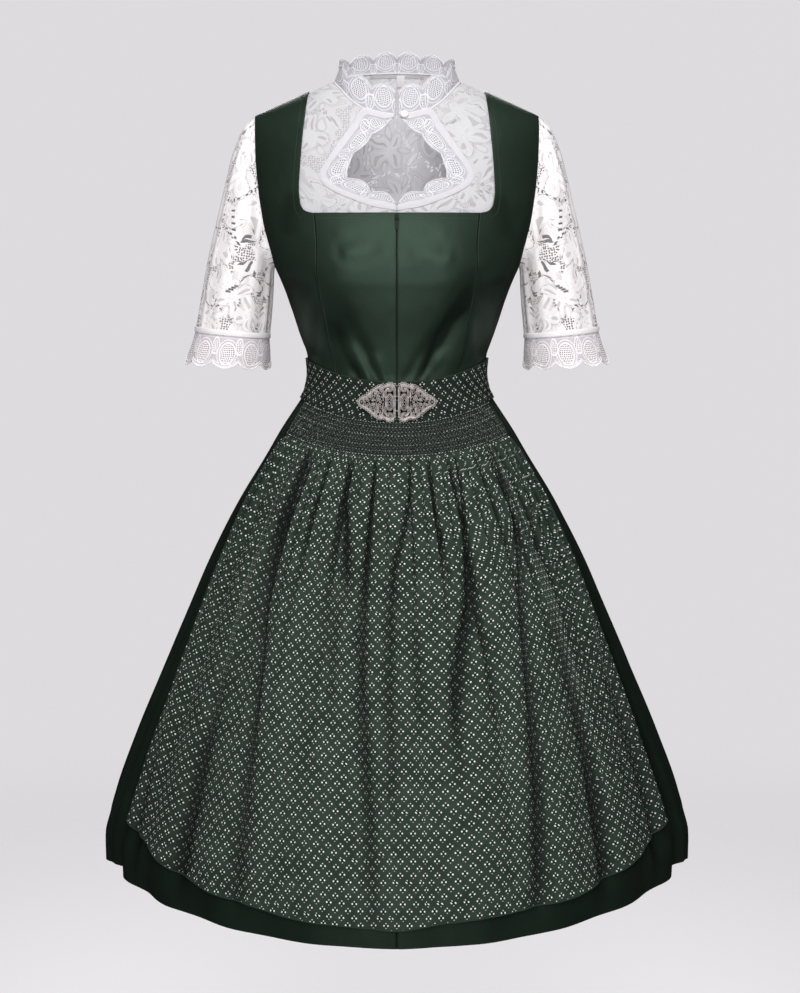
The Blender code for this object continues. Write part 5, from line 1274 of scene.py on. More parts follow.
def buildBlouseBack():
    # rows from the back neck and shoulders down; the top row is the neck itself
    neckAngle, neckHeight = chart(*backNeck(42), False)
    shoulder = np.linspace(-neckAngle[0], figure["holeTurn"], 22)[1:]
    start = np.concatenate([-neckAngle[::-1], shoulder])
    top = np.concatenate([neckHeight[::-1], np.ones(len(shoulder))])
    quarter = math.pi / 2
    share = (quarter - start) / (quarter - figure["holeTurn"])
    level = np.concatenate([1 - steps(46, 0.006), np.array([-0.019, -0.035, -0.055, -0.072])])
    end = armholeTurn(figure["chest"] + np.minimum(level, 0))
    angle = -(quarter + (end[:, None] - quarter) * share)
    height = np.where(level[:, None] > 0, level[:, None] * top, level[:, None])
    plain, normal = onForm(angle, height)
    halfSheet = plain + normal * blouse["lift"], formUv(angle, height), normal
    point, uv, normal = (np.concatenate([part[:, :0:-1] * sign, part], axis=1)
            for part, sign in zip(halfSheet, ([-1, 1, 1], [-1, 1], [-1, 1, 1])))
    piece = sheetPiece("blouseBack", point, uv, normal, blouse["wall"], "backLace", "lace", "blouse_back")
    declare(point)


def buildKeyhole():
    # tape along the keyhole's edge and a scalloped trim inside it; u runs along, v across
    at = np.concatenate([np.linspace(0, cornerRow, 24), np.linspace(cornerRow, 13, 120)[1:]])
    rows = alongRows(keyhole, at)
    edge = pack(rows["x"], rows["z"])
    hole = pack(rows["hole_x"], rows["hole_z"])
    reach = span(hole - edge)
    inward = (hole - edge) / reach[:, None]
    tape = np.minimum(blouse["tape"], reach * 0.62)
    run = arcs(hole, 0)
    count = run / run[-1] * 5
    rise = readTable(trimRise, "rise", run / run[-1])
    trim = np.maximum(reach + (scallopRise(count, 1, 0.7) - 0.55) * rise, tape + 0.0015)
    share = steps(11, 0.02)
    for kind, node, first, last, lift, finish, slot in (
            ("keyholeTape_", "keyhole_tape_", 0 * reach, tape, 0.5 * mm, "tape", "tape"),
            ("keyholeTrim_", "keyhole_trim_", tape - 0.6 * mm, trim, -0.2 * mm, "trimLace", "lace")):
        offset = blendColumns(first, last, share)
        place = edge[:, None] + inward[:, None] * offset[..., None]
        plain, normal = onForm(*chart(np.maximum(place[..., 0], 0.0002), place[..., 1]))
        isTape = finish == "tape"
        rise = blouse["lift"] + lift + 0.35 * mm * np.sin(share * math.pi)[None] * isTape
        point = plain + normal * (rise + 0 * offset)[..., None]
        uv = pack(arcs(point, 1), arcs(point, 0)) if isTape else \
            pack(np.repeat(count[:, None], len(share), axis=1), np.tile(share, (len(at), 1)))
        for side, flip in halves:
            piece = sheetPiece(kind + side, point, uv, normal, 0.6 * mm, finish, slot, node + side, flip=flip)
            cords = []
            if not isTape:
                edges = (point + normal * 0.1 * mm) * [flip, 1, 1]
                lines = [edges[1:-1, column] for column in (-1, -4)]
                cords = [cordPiece("trimCord_" + side, lines, 0.7 * mm, "cord", "lace")]
            declare(point)


collar = {"middle": 0.006, "clear": 0.0009, "scallops": 6, "rise": 0.01, "wall": 0.7 * mm}
collarTop = table("turn reach.mm z.mm", (
    (0, 60, 10), (25, 64, 16), (50, 72, 28), (75, 79, 43), (100, 79, 52), (130, 72, 60), (155, 65, 66),
    (180, 62, 68),
))


def neckRing(turn):
    # the neck's edge at the blouse's lift, by the angle round the neck from the centre front
    front = alongRows(neckEdge, np.linspace(3, 0, 40))
    centre = alongRows(keyhole, np.linspace(0, cornerRow, 24)[:-1])
    backX, backZ = backNeck(40)
    path = []
    for x, z, ahead in ((np.append(centre["x"], front["x"]), np.append(centre["z"], front["z"]), True),
            (backX[1:], backZ[1:], False)):
        plain, normal = onForm(*chart(x, z, ahead))
        path.append(plain + normal * (blouse["lift"] - 0.5 * mm))
    path = np.concatenate(path)
    facing = np.arctan2(path[:, 0], collar["middle"] - path[:, 1])
    return follow(path, facing, turn)


def buildCollar():
    # foot on the neck's edge, top from the table, scallops rise * |sin|^0.8, with cords on the edge
    count = collar["scallops"] * 24
    scallop = np.linspace(0, collar["scallops"], count + 1)
    turn = np.radians(1.2 + scallop / collar["scallops"] * 178.8)
    foot = neckRing(turn)
    inward = pack(-foot[:, 0], collar["middle"] - foot[:, 1], 0 * turn)
    inward = unit(inward) + [0, 0, 0.5]
    foot = foot + inward * collar["clear"]
    degrees = np.degrees(turn)
    reach = readTable(collarTop, "reach", degrees)
    top = np.stack([np.sin(turn) * reach, collar["middle"] - np.cos(turn) * reach,
            readTable(collarTop, "z", degrees)], axis=-1)
    climb = unit(top - foot)
    top = top + climb * scallopRise(scallop, collar["rise"])[:, None]
    share = steps(26, 0.012)
    point = foot[None] + (top - foot)[None] * share[:, None, None]
    away = (foot + top) / 2 - np.array([0, collar["middle"], 0])
    out = away * np.array([1, 1, 0]) / span(away[:, :2])[:, None]
    bow = np.sin(share * math.pi)[:, None] * (1.2 * mm + 0.9 * mm * wander(scallop * 1.3, 0.9)[None])
    flutter = share[:, None] ** 2 * 1.1 * mm * np.sin(scallop * 2 * math.pi + 0.6)[None]
    point = point + out[None] * (bow + flutter)[..., None]
    point[..., 0] = np.maximum(point[..., 0], 0.0002)
    uv = pack(*np.meshgrid(scallop, share))
    for side, flip in halves:
        piece = sheetPiece("collar_" + side + "_lace", point, uv, np.broadcast_to(out, point.shape),
                collar["wall"], "collarLace", "lace", "collar_" + side, flip=flip)
        whole, outside = point * [flip, 1, 1], out * [flip, 1, 1]
        lines = [whole[row] + outside * 0.1 * mm for row in (-1, -5)]
        cord = cordPiece("collarCord_" + side, lines, 0.6 * mm, "cord", "lace")
        band = whole[0] + outside * 0.5 * mm + [0, 0, 0.5 * mm]
        seam = cordPiece("collarBand_" + side, [band], 1.5 * mm, "cord", "tape", 8)
        declare(point)


sleeve = {"wall": 0.8 * mm, "armholeMiddle": -0.1205, "clear": 0.0016, "around": 156, "down": 96}
sleeveLine = table("along out_x.mm out_z.mm in_x.mm in_z.mm depth.mm", (
    (0, 199.5, -18, 168.8, -223.8, 46.2), (0.1, 211, -27, 170.5, -225, 47.4),
    (0.25, 225.5, -60, 171.2, -234, 53), (0.4, 236.5, -105, 171.5, -248, 58),
    (0.55, 249.5, -158, 172.4, -264, 60), (0.7, 262, -210, 173.8, -282, 60),
    (0.85, 272, -262, 175.7, -302, 59), (1, 281, -313, 178, -322, 58),
))
cuffLine = table("along out_x.mm out_z.mm in_x.mm in_z.mm depth.mm", (
    (0, 281.4, -313.4, 178.2, -322.4, 58.2), (0.5, 287, -332, 177.5, -340, 59.5),
    (1, 293, -348, 178, -356, 61),
))
ladders = table("along turn tilt bars", (
    (0.46, 62, 12, 4), (0.74, 84, -15, 4), (0.46, 298, -12, 4), (0.74, 276, 15, 4),
))
bar = {"long": 7.2 * mm, "high": 2.7 * mm, "pitch": 5.6 * mm, "deep": 9.0 * mm}
# folds of the sleeve: degrees round it (0 outer line, 90 front, 180 inner) and share along it
sleeveFolds = table("u0 v0 u1 v1 wide deep.mm spread", (
    (150, 0.3, 95, 0.62, 11, -3, 0.6), (172, 0.46, 128, 0.78, 10, -2.6, 0.6),
    (40, 0.12, 66, 0.42, 11, -1.6, 0.6), (120, 0.16, 84, 0.36, 9, 1.6, 0.6),
    (30, 0.52, 74, 0.74, 12, 1.6, 0.6), (160, 0.66, 112, 0.98, 10, 2, 0.5),
    (20, 0.74, 60, 1, 12, -1.4, 0.5), (210, 0.3, 262, 0.6, 11, -2.6, 0.6),
    (190, 0.52, 236, 0.8, 10, -2.4, 0.6), (318, 0.16, 292, 0.44, 11, -1.6, 0.6),
    (246, 0.18, 278, 0.38, 9, 1.5, 0.6), (330, 0.54, 288, 0.76, 12, 1.5, 0.6),
    (200, 0.68, 248, 0.98, 10, 1.8, 0.5),
))


def armholeEdges():
    # front and back edge of the armhole with the angle of each point round the hole from its top
    edges = []
    for seam, ahead in ((frontSeam, True), (backSeam, False)):
        angle, height = sidePanel(seam, ahead)
        edge = dressForm(angle[:, -1], height[:, -1])
        edge = edge[edge[:, 2] >= figure["underarm"] - 1e-4][::-1]
        facing = np.arctan2(np.abs(edge[:, 1]), edge[:, 2] - sleeve["armholeMiddle"])
        order = np.argsort(facing)
        edges.append((facing[order], edge[order]))
    return edges


armholes = armholeEdges()


def armholeRing(turn):
    # the armhole's edge drawn in a little, from an angle that starts at the top and goes forward
    turn = np.mod(turn, 2 * math.pi)
    ahead = turn <= math.pi
    facing = np.where(ahead, turn, 2 * math.pi - turn)
    stretched = np.arctan2(np.sin(facing) * 0.045, np.cos(facing) * 0.104)
    front, back = (follow(path, at, stretched) for at, path in armholes)
    point = np.where(ahead[..., None], front, back)
    away = point - np.array([0, 0, sleeve["armholeMiddle"]])
    length = span(away[..., 1:])
    drawn = (length - sleeve["clear"]) / length
    return pack(point[..., 0], away[..., 1] * drawn, sleeve["armholeMiddle"] + away[..., 2] * drawn)


def tubeForm(rows, along, turn):
    # leaning oval: middle + half width * cos + half depth * sin, from the outer and inner lines
    line = {name: readTable(rows, name, along) for name in rows if name != "along"}
    out = pack(line["out_x"], 0 * along, line["out_z"])
    into = pack(line["in_x"], 0 * along, line["in_z"])
    deep = pack(0 * along, -line["depth"], 0 * along)
    return (out + into) / 2 + (out - into) / 2 * np.cos(turn)[..., None] + deep * np.sin(turn)[..., None]


def sleeveForm(turn, along):
    # tube + (armhole ring - tube's own top) * a share that goes from 1 to 0 at 0.40 along
    plain = tubeForm(sleeveLine, along, turn)
    start = armholeRing(turn)
    gone = np.clip(along / 0.4, 0, 1)
    hold = 1 - gone * gone * (3 - 2 * gone)
    return plain + (start - tubeForm(sleeveLine, 0 * along, turn)) * hold[..., None]


def cuffForm(turn, along):
    # the cuff's own leaning oval
    return tubeForm(cuffLine, along, turn)


def tubeNormal(form, turn, along):
    # (step round) x (step down), turned away from the tube's own middle line
    small = 1e-3
    low, high = np.clip(along - small, 0, 1), np.clip(along + small, 0, 1)
    normal = unit(np.cross(form(turn + small, along) - form(turn - small, along),
            form(turn, high) - form(turn, low)))
    middle = (form(turn, along) + form(turn + math.pi, along)) / 2
    away = np.sum(normal * (form(turn, along) - middle), axis=-1, keepdims=True)
    return normal * np.where(away < 0, -1, 1)


def ladderBoxes(flip):
    # the openwork bars, standing through the sleeve's wall where the CAD sleeve has them
    form = bmesh.new()
    for along, turn, tilt, bars in zip(*ladders.values()):
        for number in range(int(bars)):
            drop = (number - (bars - 1) / 2) * bar["pitch"]
            place = np.array([along + drop / 0.3])
            around = np.array([math.radians(turn + tilt * drop / 0.02)])
            centre = sleeveForm(around, place)[0]
            out = tubeNormal(sleeveForm, around, place)[0]
            down = sleeveForm(around, place + 0.01)[0] - centre
            down = unit(down - out * np.dot(down, out))
            across = np.cross(out, down)
            for vert in bmesh.ops.create_cube(form, size=1)["verts"]:
                x, y, z = vert.co
                where = centre + across * x * bar["long"] + down * y * bar["high"] + out * z * bar["deep"]
                vert.co = where * [flip, 1, 1]
    bmesh.ops.recalc_face_normals(form, faces=form.faces)
    mesh = bpy.data.meshes.new("ladderBars")
    form.to_mesh(mesh)
    form.free()
    cutter = bpy.data.objects.new("ladderBars", mesh)
    scene.collection.objects.link(cutter)
    return cutter


def cutOut(piece, cutter):
    # piece minus cutter, made its own mesh; the cutter is then removed
    cut = piece.modifiers.new("ladders", "BOOLEAN")
    cut.operation, cut.solver, cut.object = "DIFFERENCE", "EXACT", cutter
    bpy.context.view_layer.update()
    graph = bpy.context.evaluated_depsgraph_get()
    mesh = bpy.data.meshes.new_from_object(piece.evaluated_get(graph), preserve_all_data_layers=True,
            depsgraph=graph)
    piece.modifiers.clear()
    piece.data = mesh
    bpy.data.objects.remove(cutter)


sleeveAxis = {"top": (0.186, 0, -0.02), "foot": (0.2296, 0, -0.318), "radius": 0.056}


def sleeveUv(point):
    # v = distance along the sleeve's axis, u = radius * angle round it, from the inner line to itself
    top = np.array(sleeveAxis["top"])
    down = np.array(sleeveAxis["foot"]) - top
    down = unit(down)
    v = (point - top) @ down
    aside = (point - top - v[..., None] * down) @ np.array([-down[2], 0, down[0]])
    angle = np.arctan2(-point[..., 1], aside)
    angle[:, 0], angle[:, -1] = -math.pi, math.pi
    return pack(angle * sleeveAxis["radius"], v)


def buildSleeves():
    # sleeve form + folds + head gathers + a step at the hem, with its openwork cut out and a hem tape
    turn = np.radians(180 + np.linspace(0, 360, sleeve["around"] + 1))
    around, down = np.meshgrid(turn, steps(sleeve["down"], 0.003))
    plain, normal = sleeveForm(around, down), tubeNormal(sleeveForm, around, down)
    degrees = np.mod(np.degrees(around), 360)
    ridges = 0.0011 * np.sin(np.radians(degrees) * 14)
    for side, flip in halves:
        folds = creaseField(degrees, down + (0.02 if flip < 0 else 0), sleeveFolds)
        tilt = smoothStep(0.1, 0.25, down) * (1 - smoothStep(0.97, 1.0, down))
        head = ridges * np.exp(-(down / 0.09) ** 2) * smoothStep(0.002, 0.03, down)
        hemBand = 0.0007 * smoothStep(0.965, 0.972, down)
        lift = folds * tilt + head * np.cos(np.radians(degrees / 2)) ** 2 + hemBand
        point = (plain + normal * lift[..., None]) * [flip, 1, 1]
        piece = gridObject("sleeve_" + side, point, sleeveUv(plain), wall=sleeve["wall"],
                outside=normal * [flip, 1, 1])
        cutOut(piece, ladderBoxes(flip))
        dress(piece, "sleeveLace", "lace", "sleeve_front_" + side, "sleeve_back_" + side)
        hem = bandRing("sleeveHem_" + side, (plain[-2] + normal[-2] * 1.0 * mm) * [flip, 1, 1], 7.5 * mm)
        dress(hem, "hemTape", "tape")
        piece.visible_glossy = hem.visible_glossy = False
        declare(plain)


def bandRing(name, line, tall):
    # a narrow bulging tape that starts at a closed line and runs up the sleeve
    share = np.array([0.0, 0.15, 0.5, 0.85, 1.0])
    bulge = np.array([0.0, 0.35, 0.5, 0.35, 0.0]) * mm
    middle = line.mean(axis=0)
    out = unit(line - middle)
    grid = line + np.array([0, 0, 1.0]) * (share * tall)[:, None, None] + out * bulge[:, None, None]
    return gridObject(name, grid, clothUv(grid), closed=True, wall=0.5 * mm, outside=grid - middle)


cuff = {"scallops": 10, "rise": 0.009, "wall": 0.7 * mm, "steps": 24}


def buildCuffs():
    # oval tube with scallops of rise * |sin|^0.8 on its lower edge, and two cords along it
    count = cuff["scallops"] * cuff["steps"]
    scallop = np.linspace(0, cuff["scallops"], count + 1)
    turn = scallop / cuff["scallops"] * 2 * math.pi
    share = steps(22, 0.012)
    around, down = np.meshgrid(turn, share)
    point = cuffForm(around, down)
    normal = tubeNormal(cuffForm, around, down)
    axis = unit(cuffForm(around, np.ones_like(down)) - cuffForm(around, np.full_like(down, 0.5)))
    rise = scallopRise(scallop, cuff["rise"])
    flutter = 1.2 * mm * np.sin(scallop * 2 * math.pi + 0.8)[None] * down ** 2
    slow = 1.3 * mm * wander(scallop * 0.9, 1.4)[None] * down
    point = point + axis * (rise[None] * down ** 2)[..., None] + normal * (flutter + slow)[..., None]
    uv = pack(*np.meshgrid(scallop, share))
    for side, flip in halves:
        piece = sheetPiece("cuffLace_" + side, point, uv, normal, cuff["wall"], "cuffLace", "lace",
                "cuff_" + side, flip=flip, closed=True)
        edges = (point + normal * 0.1 * mm)[:, :-1] * [flip, 1, 1]
        lines = [edges[row] for row in (-1, -4)]
        cord = cordPiece("cuffCord_" + side, lines, 0.7 * mm, "cuffCord", "lace", closed=True)
        declare(point)


clasp = {"thick": 1.8 * mm, "turn": 6.5, "lean": 5.5, "gap": 1.1 * mm, "z": -0.4045, "wire": 0.5 * mm}
claspEdge = table("u.mm w.mm", (
    (0.6, 0), (0.6, 16), (2.2, 21.8), (5.8, 24.9), (9.8, 25.1), (13.2, 23), (15.8, 21.6), (20, 22.3),
    (24, 21.4), (28, 18.8), (33, 15.2), (38, 11), (42.8, 7.6), (46.8, 5.7), (50, 3.4), (51.2, 0),
))


def claspFrame():
    # the plate's middle, its two directions and its outward direction, resting on the belt
    turn, lean = math.radians(clasp["turn"]), math.radians(clasp["lean"])
    out = np.array([math.sin(turn) * math.cos(lean), -math.cos(turn) * math.cos(lean), math.sin(lean)])
    along = np.array([math.cos(turn), math.sin(turn), 0])
    up = np.cross(along, -out)
    up *= np.sign(up[2])
    around, level = np.meshgrid(np.linspace(1.0, math.pi / 2, 40), np.linspace(belt["top"], belt["foot"], 40))
    plain, normal = onForm(around, level - figure["chest"], top=None)
    surface = plain + normal * skirtCut["beltLift"]
    middle = np.array([clasp["gap"] / 2, surface[0, -1, 1], clasp["z"]])
    away = surface - middle
    near = (np.abs(away @ up) < 0.026) & (away @ along < 0.053)
    rest = np.max((away @ out)[near]) + 0.3 * mm + clasp["thick"] / 2
    return middle + out * (rest + clasp["thick"] / 2), along, up, out


def spiral(u, w, radius, turns, start, hand=1.0, count=34):
    # r = radius * (1 - 0.86 share), angle = start + hand * turns * 2 pi * share
    share = np.linspace(0, 1, count)
    angle = start + hand * turns * 2 * math.pi * share
    r = radius * (1 - 0.86 * share)
    return pack(u + r * np.cos(angle), w + r * np.sin(angle), 0 * share)


def ovalRing(u, w, wide, tall, lift=0.0, count=40):
    # a closed oval at that lift
    turn = np.append(np.linspace(0, 2 * math.pi, count, endpoint=False), 2 * math.pi)
    return pack(u + wide * np.cos(turn), w + tall * np.sin(turn), np.full(count + 1, lift))


def raised(line, lift=0.0):
    # a closed line in the plate's plane with its lift
    line = np.concatenate([line, line[:1]])
    return np.concatenate([line, np.full((len(line), 1), lift)], axis=1)


claspCurls = table("u.mm w.mm size.mm turns start hand", (
    (9.2, 18.2, 6, 2.1, 0.3, 1), (9.2, 18.2, 4.9, 1.2, 0.9, 1), (19.6, 16.8, 3.6, 1.8, 2.4, -1),
    (27, 12.2, 4, 2, 0.4, 1), (33.8, 8.6, 3, 1.7, 2.6, -1), (23.6, 5.2, 3.5, 1.8, 1.8, -1),
    (31, 2.8, 2.4, 1.6, 0.6, 1), (39.8, 4.8, 2.2, 1.5, 1.2, 1),
))
claspSpots = table("u.mm w.mm size.mm", (
    (9.2, 18.2, 0.9), (19.6, 16.8, 0.65), (27, 12.2, 0.75), (33.8, 8.6, 0.6), (23.6, 5.2, 0.7),
    (31, 2.8, 0.5), (39.8, 4.8, 0.5), (23.2, 19.6, 0.5), (20, 10.4, 0.5), (30, 6.8, 0.45),
    (36.5, 3, 0.45), (43.6, 3.8, 0.5), (15, 20.8, 0.5), (4, 21.2, 0.5), (14.2, 16.8, 0.45),
    (4.2, 15, 0.45),
))


def claspLines():
    # rim cords, boss rings, scroll leaves, curls of the wing and the forked tip, in plate coordinates
    top = pack(*alongRows(claspEdge, np.linspace(0, len(claspEdge["u"]) - 1, 90)).values())
    rim = np.concatenate([top, top[-2:0:-1] * [1, -1]])
    middle = np.array([0.02, 0.0])
    thick = [raised(middle + (rim - middle) * 0.985, 0.2 * mm)]
    thin = [raised(middle + (rim - middle) * share) for share in ([0.945, 0.93], [0.885, 0.865])]
    for k, (wide, tall) in enumerate(((0.0058, 0.0108), (0.0048, 0.0096), (0.0034, 0.0072), (0.002, 0.0046))):
        thin.append(ovalRing(0.0086, 0.0, wide, tall, (0.2 + 0.55 * k) * mm))
    for row in range(4):
        for place in range(6):
            u, w = 0.019 + 0.0054 * (place + row % 2 / 2), 0.0175 - 0.005 * row
            if readTable(claspEdge, "w", np.array([u]))[0] * 0.88 - w > 0.0016:
                for sign in (1, -1):
                    thin.append(spiral(u, w * sign, 0.0025, 1.1, 1.7 * place + row, sign * (-1) ** place, 17))
    share = np.linspace(0, 1, 30)
    for sign in (1, -1):
        for u, w, size, turns, start, hand in zip(*claspCurls.values()):
            thin.append(spiral(u, w * sign, size, turns, start * sign, hand * sign))
        for bend in (0.0, 0.0016, 0.0032):
            leaf = 0.0128 + 0.004 * share - 0.0052 * share ** 2 + bend * np.sin(share * math.pi)
            thin.append(pack(leaf, sign * (0.003 + 0.016 * share), 0.3 * mm + 0 * share))
        fork = sign * (0.0004 + 0.0046 * (1 - share) ** 1.6)
        thin.append(pack(0.04 + 0.0085 * share, fork, 0.2 * mm + 0 * share))
        stem = 0.0172 + 0.0006 * np.sin(share * 3)
        thick.append(pack(stem, sign * (0.001 + 0.0195 * share), 0.1 * mm + 0 * share))
    return thick, thin, rim, middle


def onPlate(line, plate):
    # plate u, w and lift to space; the boss raises what lies on it
    middle, along, up, out = plate
    near = np.clip(1 - ((line[:, 0] - 0.0085) / 0.0042) ** 2 - (line[:, 1] / 0.0085) ** 2, 0, 1)
    lift = line[:, 2] + 2.2 * mm * np.sqrt(near)
    return middle + along * line[:, :1] + up * line[:, 1:2] + out * lift[:, None]


def buildClasp():
    # wires, rim cords and granules over the CAD plate: beads along the rim, round the boss and on the curls
    plate = claspFrame()
    thick, thin, rim, centre = claspLines()
    run = arcs(rim, 0)
    for u, w in follow(rim, run, np.arange(1.5 * mm, run[-1], 3.7 * mm)):
        if u > 0.003:
            thin.append(ovalRing(u * 1.005, w * 1.01, 1.7 * mm, 1.7 * mm, 0.1 * mm, 16))
    inside = centre + (follow(rim, run, np.arange(0, run[-1], 1.25 * mm)) - centre) * 0.965
    granules = [np.concatenate([inside, np.full((len(inside), 2), (0.25 * mm, 0.42 * mm))], axis=1)]
    for u, wide, tall, count, lift, size in ((0.0086, 0.0066, 0.0118, 26, 0.35, 0.42),
            (0.0086, 0.0041, 0.0084, 20, 0.35, 0.36),
            (0.048, 0.0016, 0.0016, 6, 0.6, 0.55)):
        turn = np.arange(count) / count * 2 * math.pi
        ring = u + wide * np.cos(turn), tall * np.sin(turn), lift * mm + 0 * turn, size * mm + 0 * turn
        granules.append(pack(*ring))
    for u, w, size in zip(*claspSpots.values()):
        granules += [np.array([[u, w * sign, 0.3 * mm, size]]) for sign in (1, -1)]
    granules.append(np.array([[46.5, 0, 1.5, 1.5], [50.5, 0, 0.2, 0.9], [8.6, 0, 2.0, 1.1]]) * mm)
    granules = np.concatenate(granules)
    for side, flip in halves:
        axes = np.stack(plate[1:]) * [flip, 1, 1]
        for name, lines, wire, sides in (("claspFiligree_", thin, clasp["wire"], 5),
                ("claspRim_", thick, 0.62 * mm, 7)):
            placed = [onPlate(line, plate) * [flip, 1, 1] for line in lines]
            cordPiece(name + side, placed, wire, "silverBright", "clasp_silver", sides, side=axes[2])
        balls = beads("claspGranules_" + side, onPlate(granules[:, :3], plate) * [flip, 1, 1],
                np.broadcast_to(axes, (len(granules), 3, 3)), granules[:, 3:], 4, 7)
        dress(balls, "silverBright", "clasp_silver")
        paint(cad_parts["clasp_" + side], "silverDark")


button = {"x": 0.01, "z": -0.018, "radius": 5.8 * mm, "flat": 0.5, "clear": 0.4 * mm}


def frontFrame(x, z):
    # the form's point, outward normal and downward direction there
    angle, height = chart(np.array([x]), np.array([z]))
    point, normal = (part[0] for part in onForm(angle, height))
    down = dressForm(angle, height - 0.002)[0] - point
    return point, normal, unit(down - normal * np.dot(down, normal))


def buildButton():
    # turned profile: domed front with a rim, a shallow dimple and two thread holes' stitch over it
    point, normal, down = frontFrame(button["x"], button["z"])
    lift = blouse["lift"] + 0.3 * mm + button["radius"] * button["flat"] + button["clear"]
    origin = point + normal * lift
    side = np.cross(normal, down)
    profile = table("r h", (
        (0, 0.34), (0.1, 0.335), (0.2, 0.37), (0.32, 0.455), (0.5, 0.5), (0.72, 0.42), (0.9, 0.26),
        (0.985, 0.08), (1, -0.02), (0.97, -0.16), (0.8, -0.36), (0.5, -0.46), (0, -0.5),
    ))
    at = np.linspace(0, len(profile["r"]) - 1, 40)
    r, h = (column * button["radius"] for column in alongRows(profile, at).values())
    turn = np.linspace(0, 2 * math.pi, 41)
    ring = np.cos(turn)[:, None] * side + np.sin(turn)[:, None] * down
    grid = origin + (r[:, None, None] * ring + h[:, None, None] * normal)
    piece = gridObject("pearlButton", grid, closed=True, outside=grid - origin)
    dress(piece, "pearl", "pearl", "pearl_button")
    share = np.linspace(0, 1, 9)
    arch = origin + normal * (0.36 * button["radius"] + 0.45 * mm * np.sin(share * math.pi))[:, None] \
        + side * ((share - 0.5) * 2.2 * mm)[:, None]
    cordPiece("buttonThread", [arch], 0.32 * mm, "stitchWhite", "pearl")


label = {"x": 0.0055, "top": 0.0462, "foot": 0.03, "wide": 0.012, "clear": 0.0012}


def buildTab():
    # small blank tab, bowed a little, inside the back of the neck, and the neck's inner tape
    z = np.linspace(label["top"], label["foot"], 16)
    x = label["x"] + np.linspace(-0.5, 0.5, 12) * label["wide"]
    across, level = np.meshgrid(x, z)
    bow = 0.5 * mm * np.sin((level - label["foot"]) / (label["top"] - label["foot"]) * math.pi)
    plain, normal = onForm(*chart(across, level, False))
    point = plain + normal * (blouse["lift"] - 1.0 * mm - label["clear"] - bow)[..., None]
    piece = sheetPiece("neckTab", point, clothUv(point), -normal, 0.4 * mm, "hemTape", "tape", "neck_tab")
    declare(point)
    x = np.linspace(-0.04, 0.04, 50)
    z = np.linspace(0, 1, 7)
    top = neckEdge["z"][0] + neckRise * np.sqrt(np.clip(1 - (x / neckEdge["x"][0]) ** 2, 0, 1))
    across, share = np.meshgrid(x, z)
    level = top[None] - 0.6 * mm - share * 5.0 * mm
    plain, normal = onForm(*chart(across, level, False))
    point = plain + normal * (blouse["lift"] - 1.15 * mm)
    piece = sheetPiece("neckTape", point, clothUv(point), -normal, 0.4 * mm, "tape", "tape")
    declare(point)


finishes = {
    "sateen": sateenFinish("sateenGreen"),
    # the bodice's sateen with its colour at 0.6: painted shade that makes the skirt darker
    "skirtSateen": sateenFinish("sateenSkirt", 0.6, 0.34),
    "print": printFinish("apronPrint", 0.84, 1.02),
    # darker copies of the apron print for the waistband and the smocked band: painted shade
    "beltPrint": printFinish("beltPrint", 0.68, 0.56),
    "smockPrint": printFinish("smockPrint", 0.3, 0.54),
    "yokeLace": laceFinish("laceYoke", 1.45, 0.45, 0.0, linear(198, 197, 200)),
    "backLace": laceFinish("laceBack", 1.35, 0.1, 1.0, linear(219, 218, 222), 0.31, 0.1, 0.16),
    "sleeveLace": laceFinish("laceSleeve", 1.25, 1.0, 0.8, linear(238, 233, 234), 0.13, 0, 0.05),
    "collarLace": edgingFinish("laceCollar", 34 * mm, 40 * mm),
    "cuffLace": edgingFinish("laceCuff", 36 * mm, 38 * mm, linear(240, 234, 236)),
    "trimLace": edgingFinish("laceTrim", 34 * mm, 22 * mm),
    "tape": tapeFinish("tapeWhite"),
    "hemTape": tapeFinish("tapeHem", (240, 236, 237)),
    "cord": stitchFinish("cordWhite", (224, 223, 227), 0.75),
    "cuffCord": stitchFinish("cordWarm", (250, 246, 247), 0.75),
    "silverBright": silverFinish("silverWire"),
    "silverDark": silverFinish("silverPlate", (62, 57, 56), (18, 16, 16), 0.58),
    "zip": zipFinish("zipLacquer"),
    "pearl": pearlFinish("pearlNacre"),
    "stitchGreen": stitchFinish("stitchGreen", (66, 84, 70)),
    "stitchSmock": stitchFinish("stitchSmock", (190, 200, 193)),
    "stitchWhite": stitchFinish("stitchWhite", (226, 222, 224)),
    "zipCoil": zipFinish("zipCoil", (40, 48, 42)),
}
for step in (buildBodice, buildStitching, buildZip, buildSkirt, buildApron, buildSmocking, buildWaistband,
        buildBlouseFront, buildBlouseBack, buildKeyhole, buildCollar, buildSleeves, buildCuffs,
        buildClasp, buildButton, buildTab):
    step()
    print("made:", step.__name__)


studio = {
    "floorZ": -1.9, "floorRadius": 7.0, "backdrop": (222, 219, 222), "around": 0.34, "mirrored": 0.03,
    "lights": (
        ("front", (0.0, -2.9, 1.8), (0, 0, -0.4), 1.2, 54, False),
        ("gloss", (-0.1, -3.3, 0.35), (0, 0, -0.3), 1.8, 32, True),
        ("low", (0.1, -3.3, -0.85), (0, 0, -0.2), 1.6, 12, True),
        ("left", (-2.4, -2.8, 1.1), (0, 0, -0.45), 1.3, 7, False),
        ("right", (2.4, -2.7, 1.1), (0, 0, -0.45), 1.3, 7, False),
        ("top", (0.2, -1.0, 2.2), (0, 0, -0.3), 1.0, 26, True),
        ("back", (-0.1, 3.0, 1.2), (0, 0, -0.45), 1.8, 70, True),
    ),
}
camera = {"at": (0.0042, -2.8, -0.2156), "pitch": 83.3, "lens": 72.5}


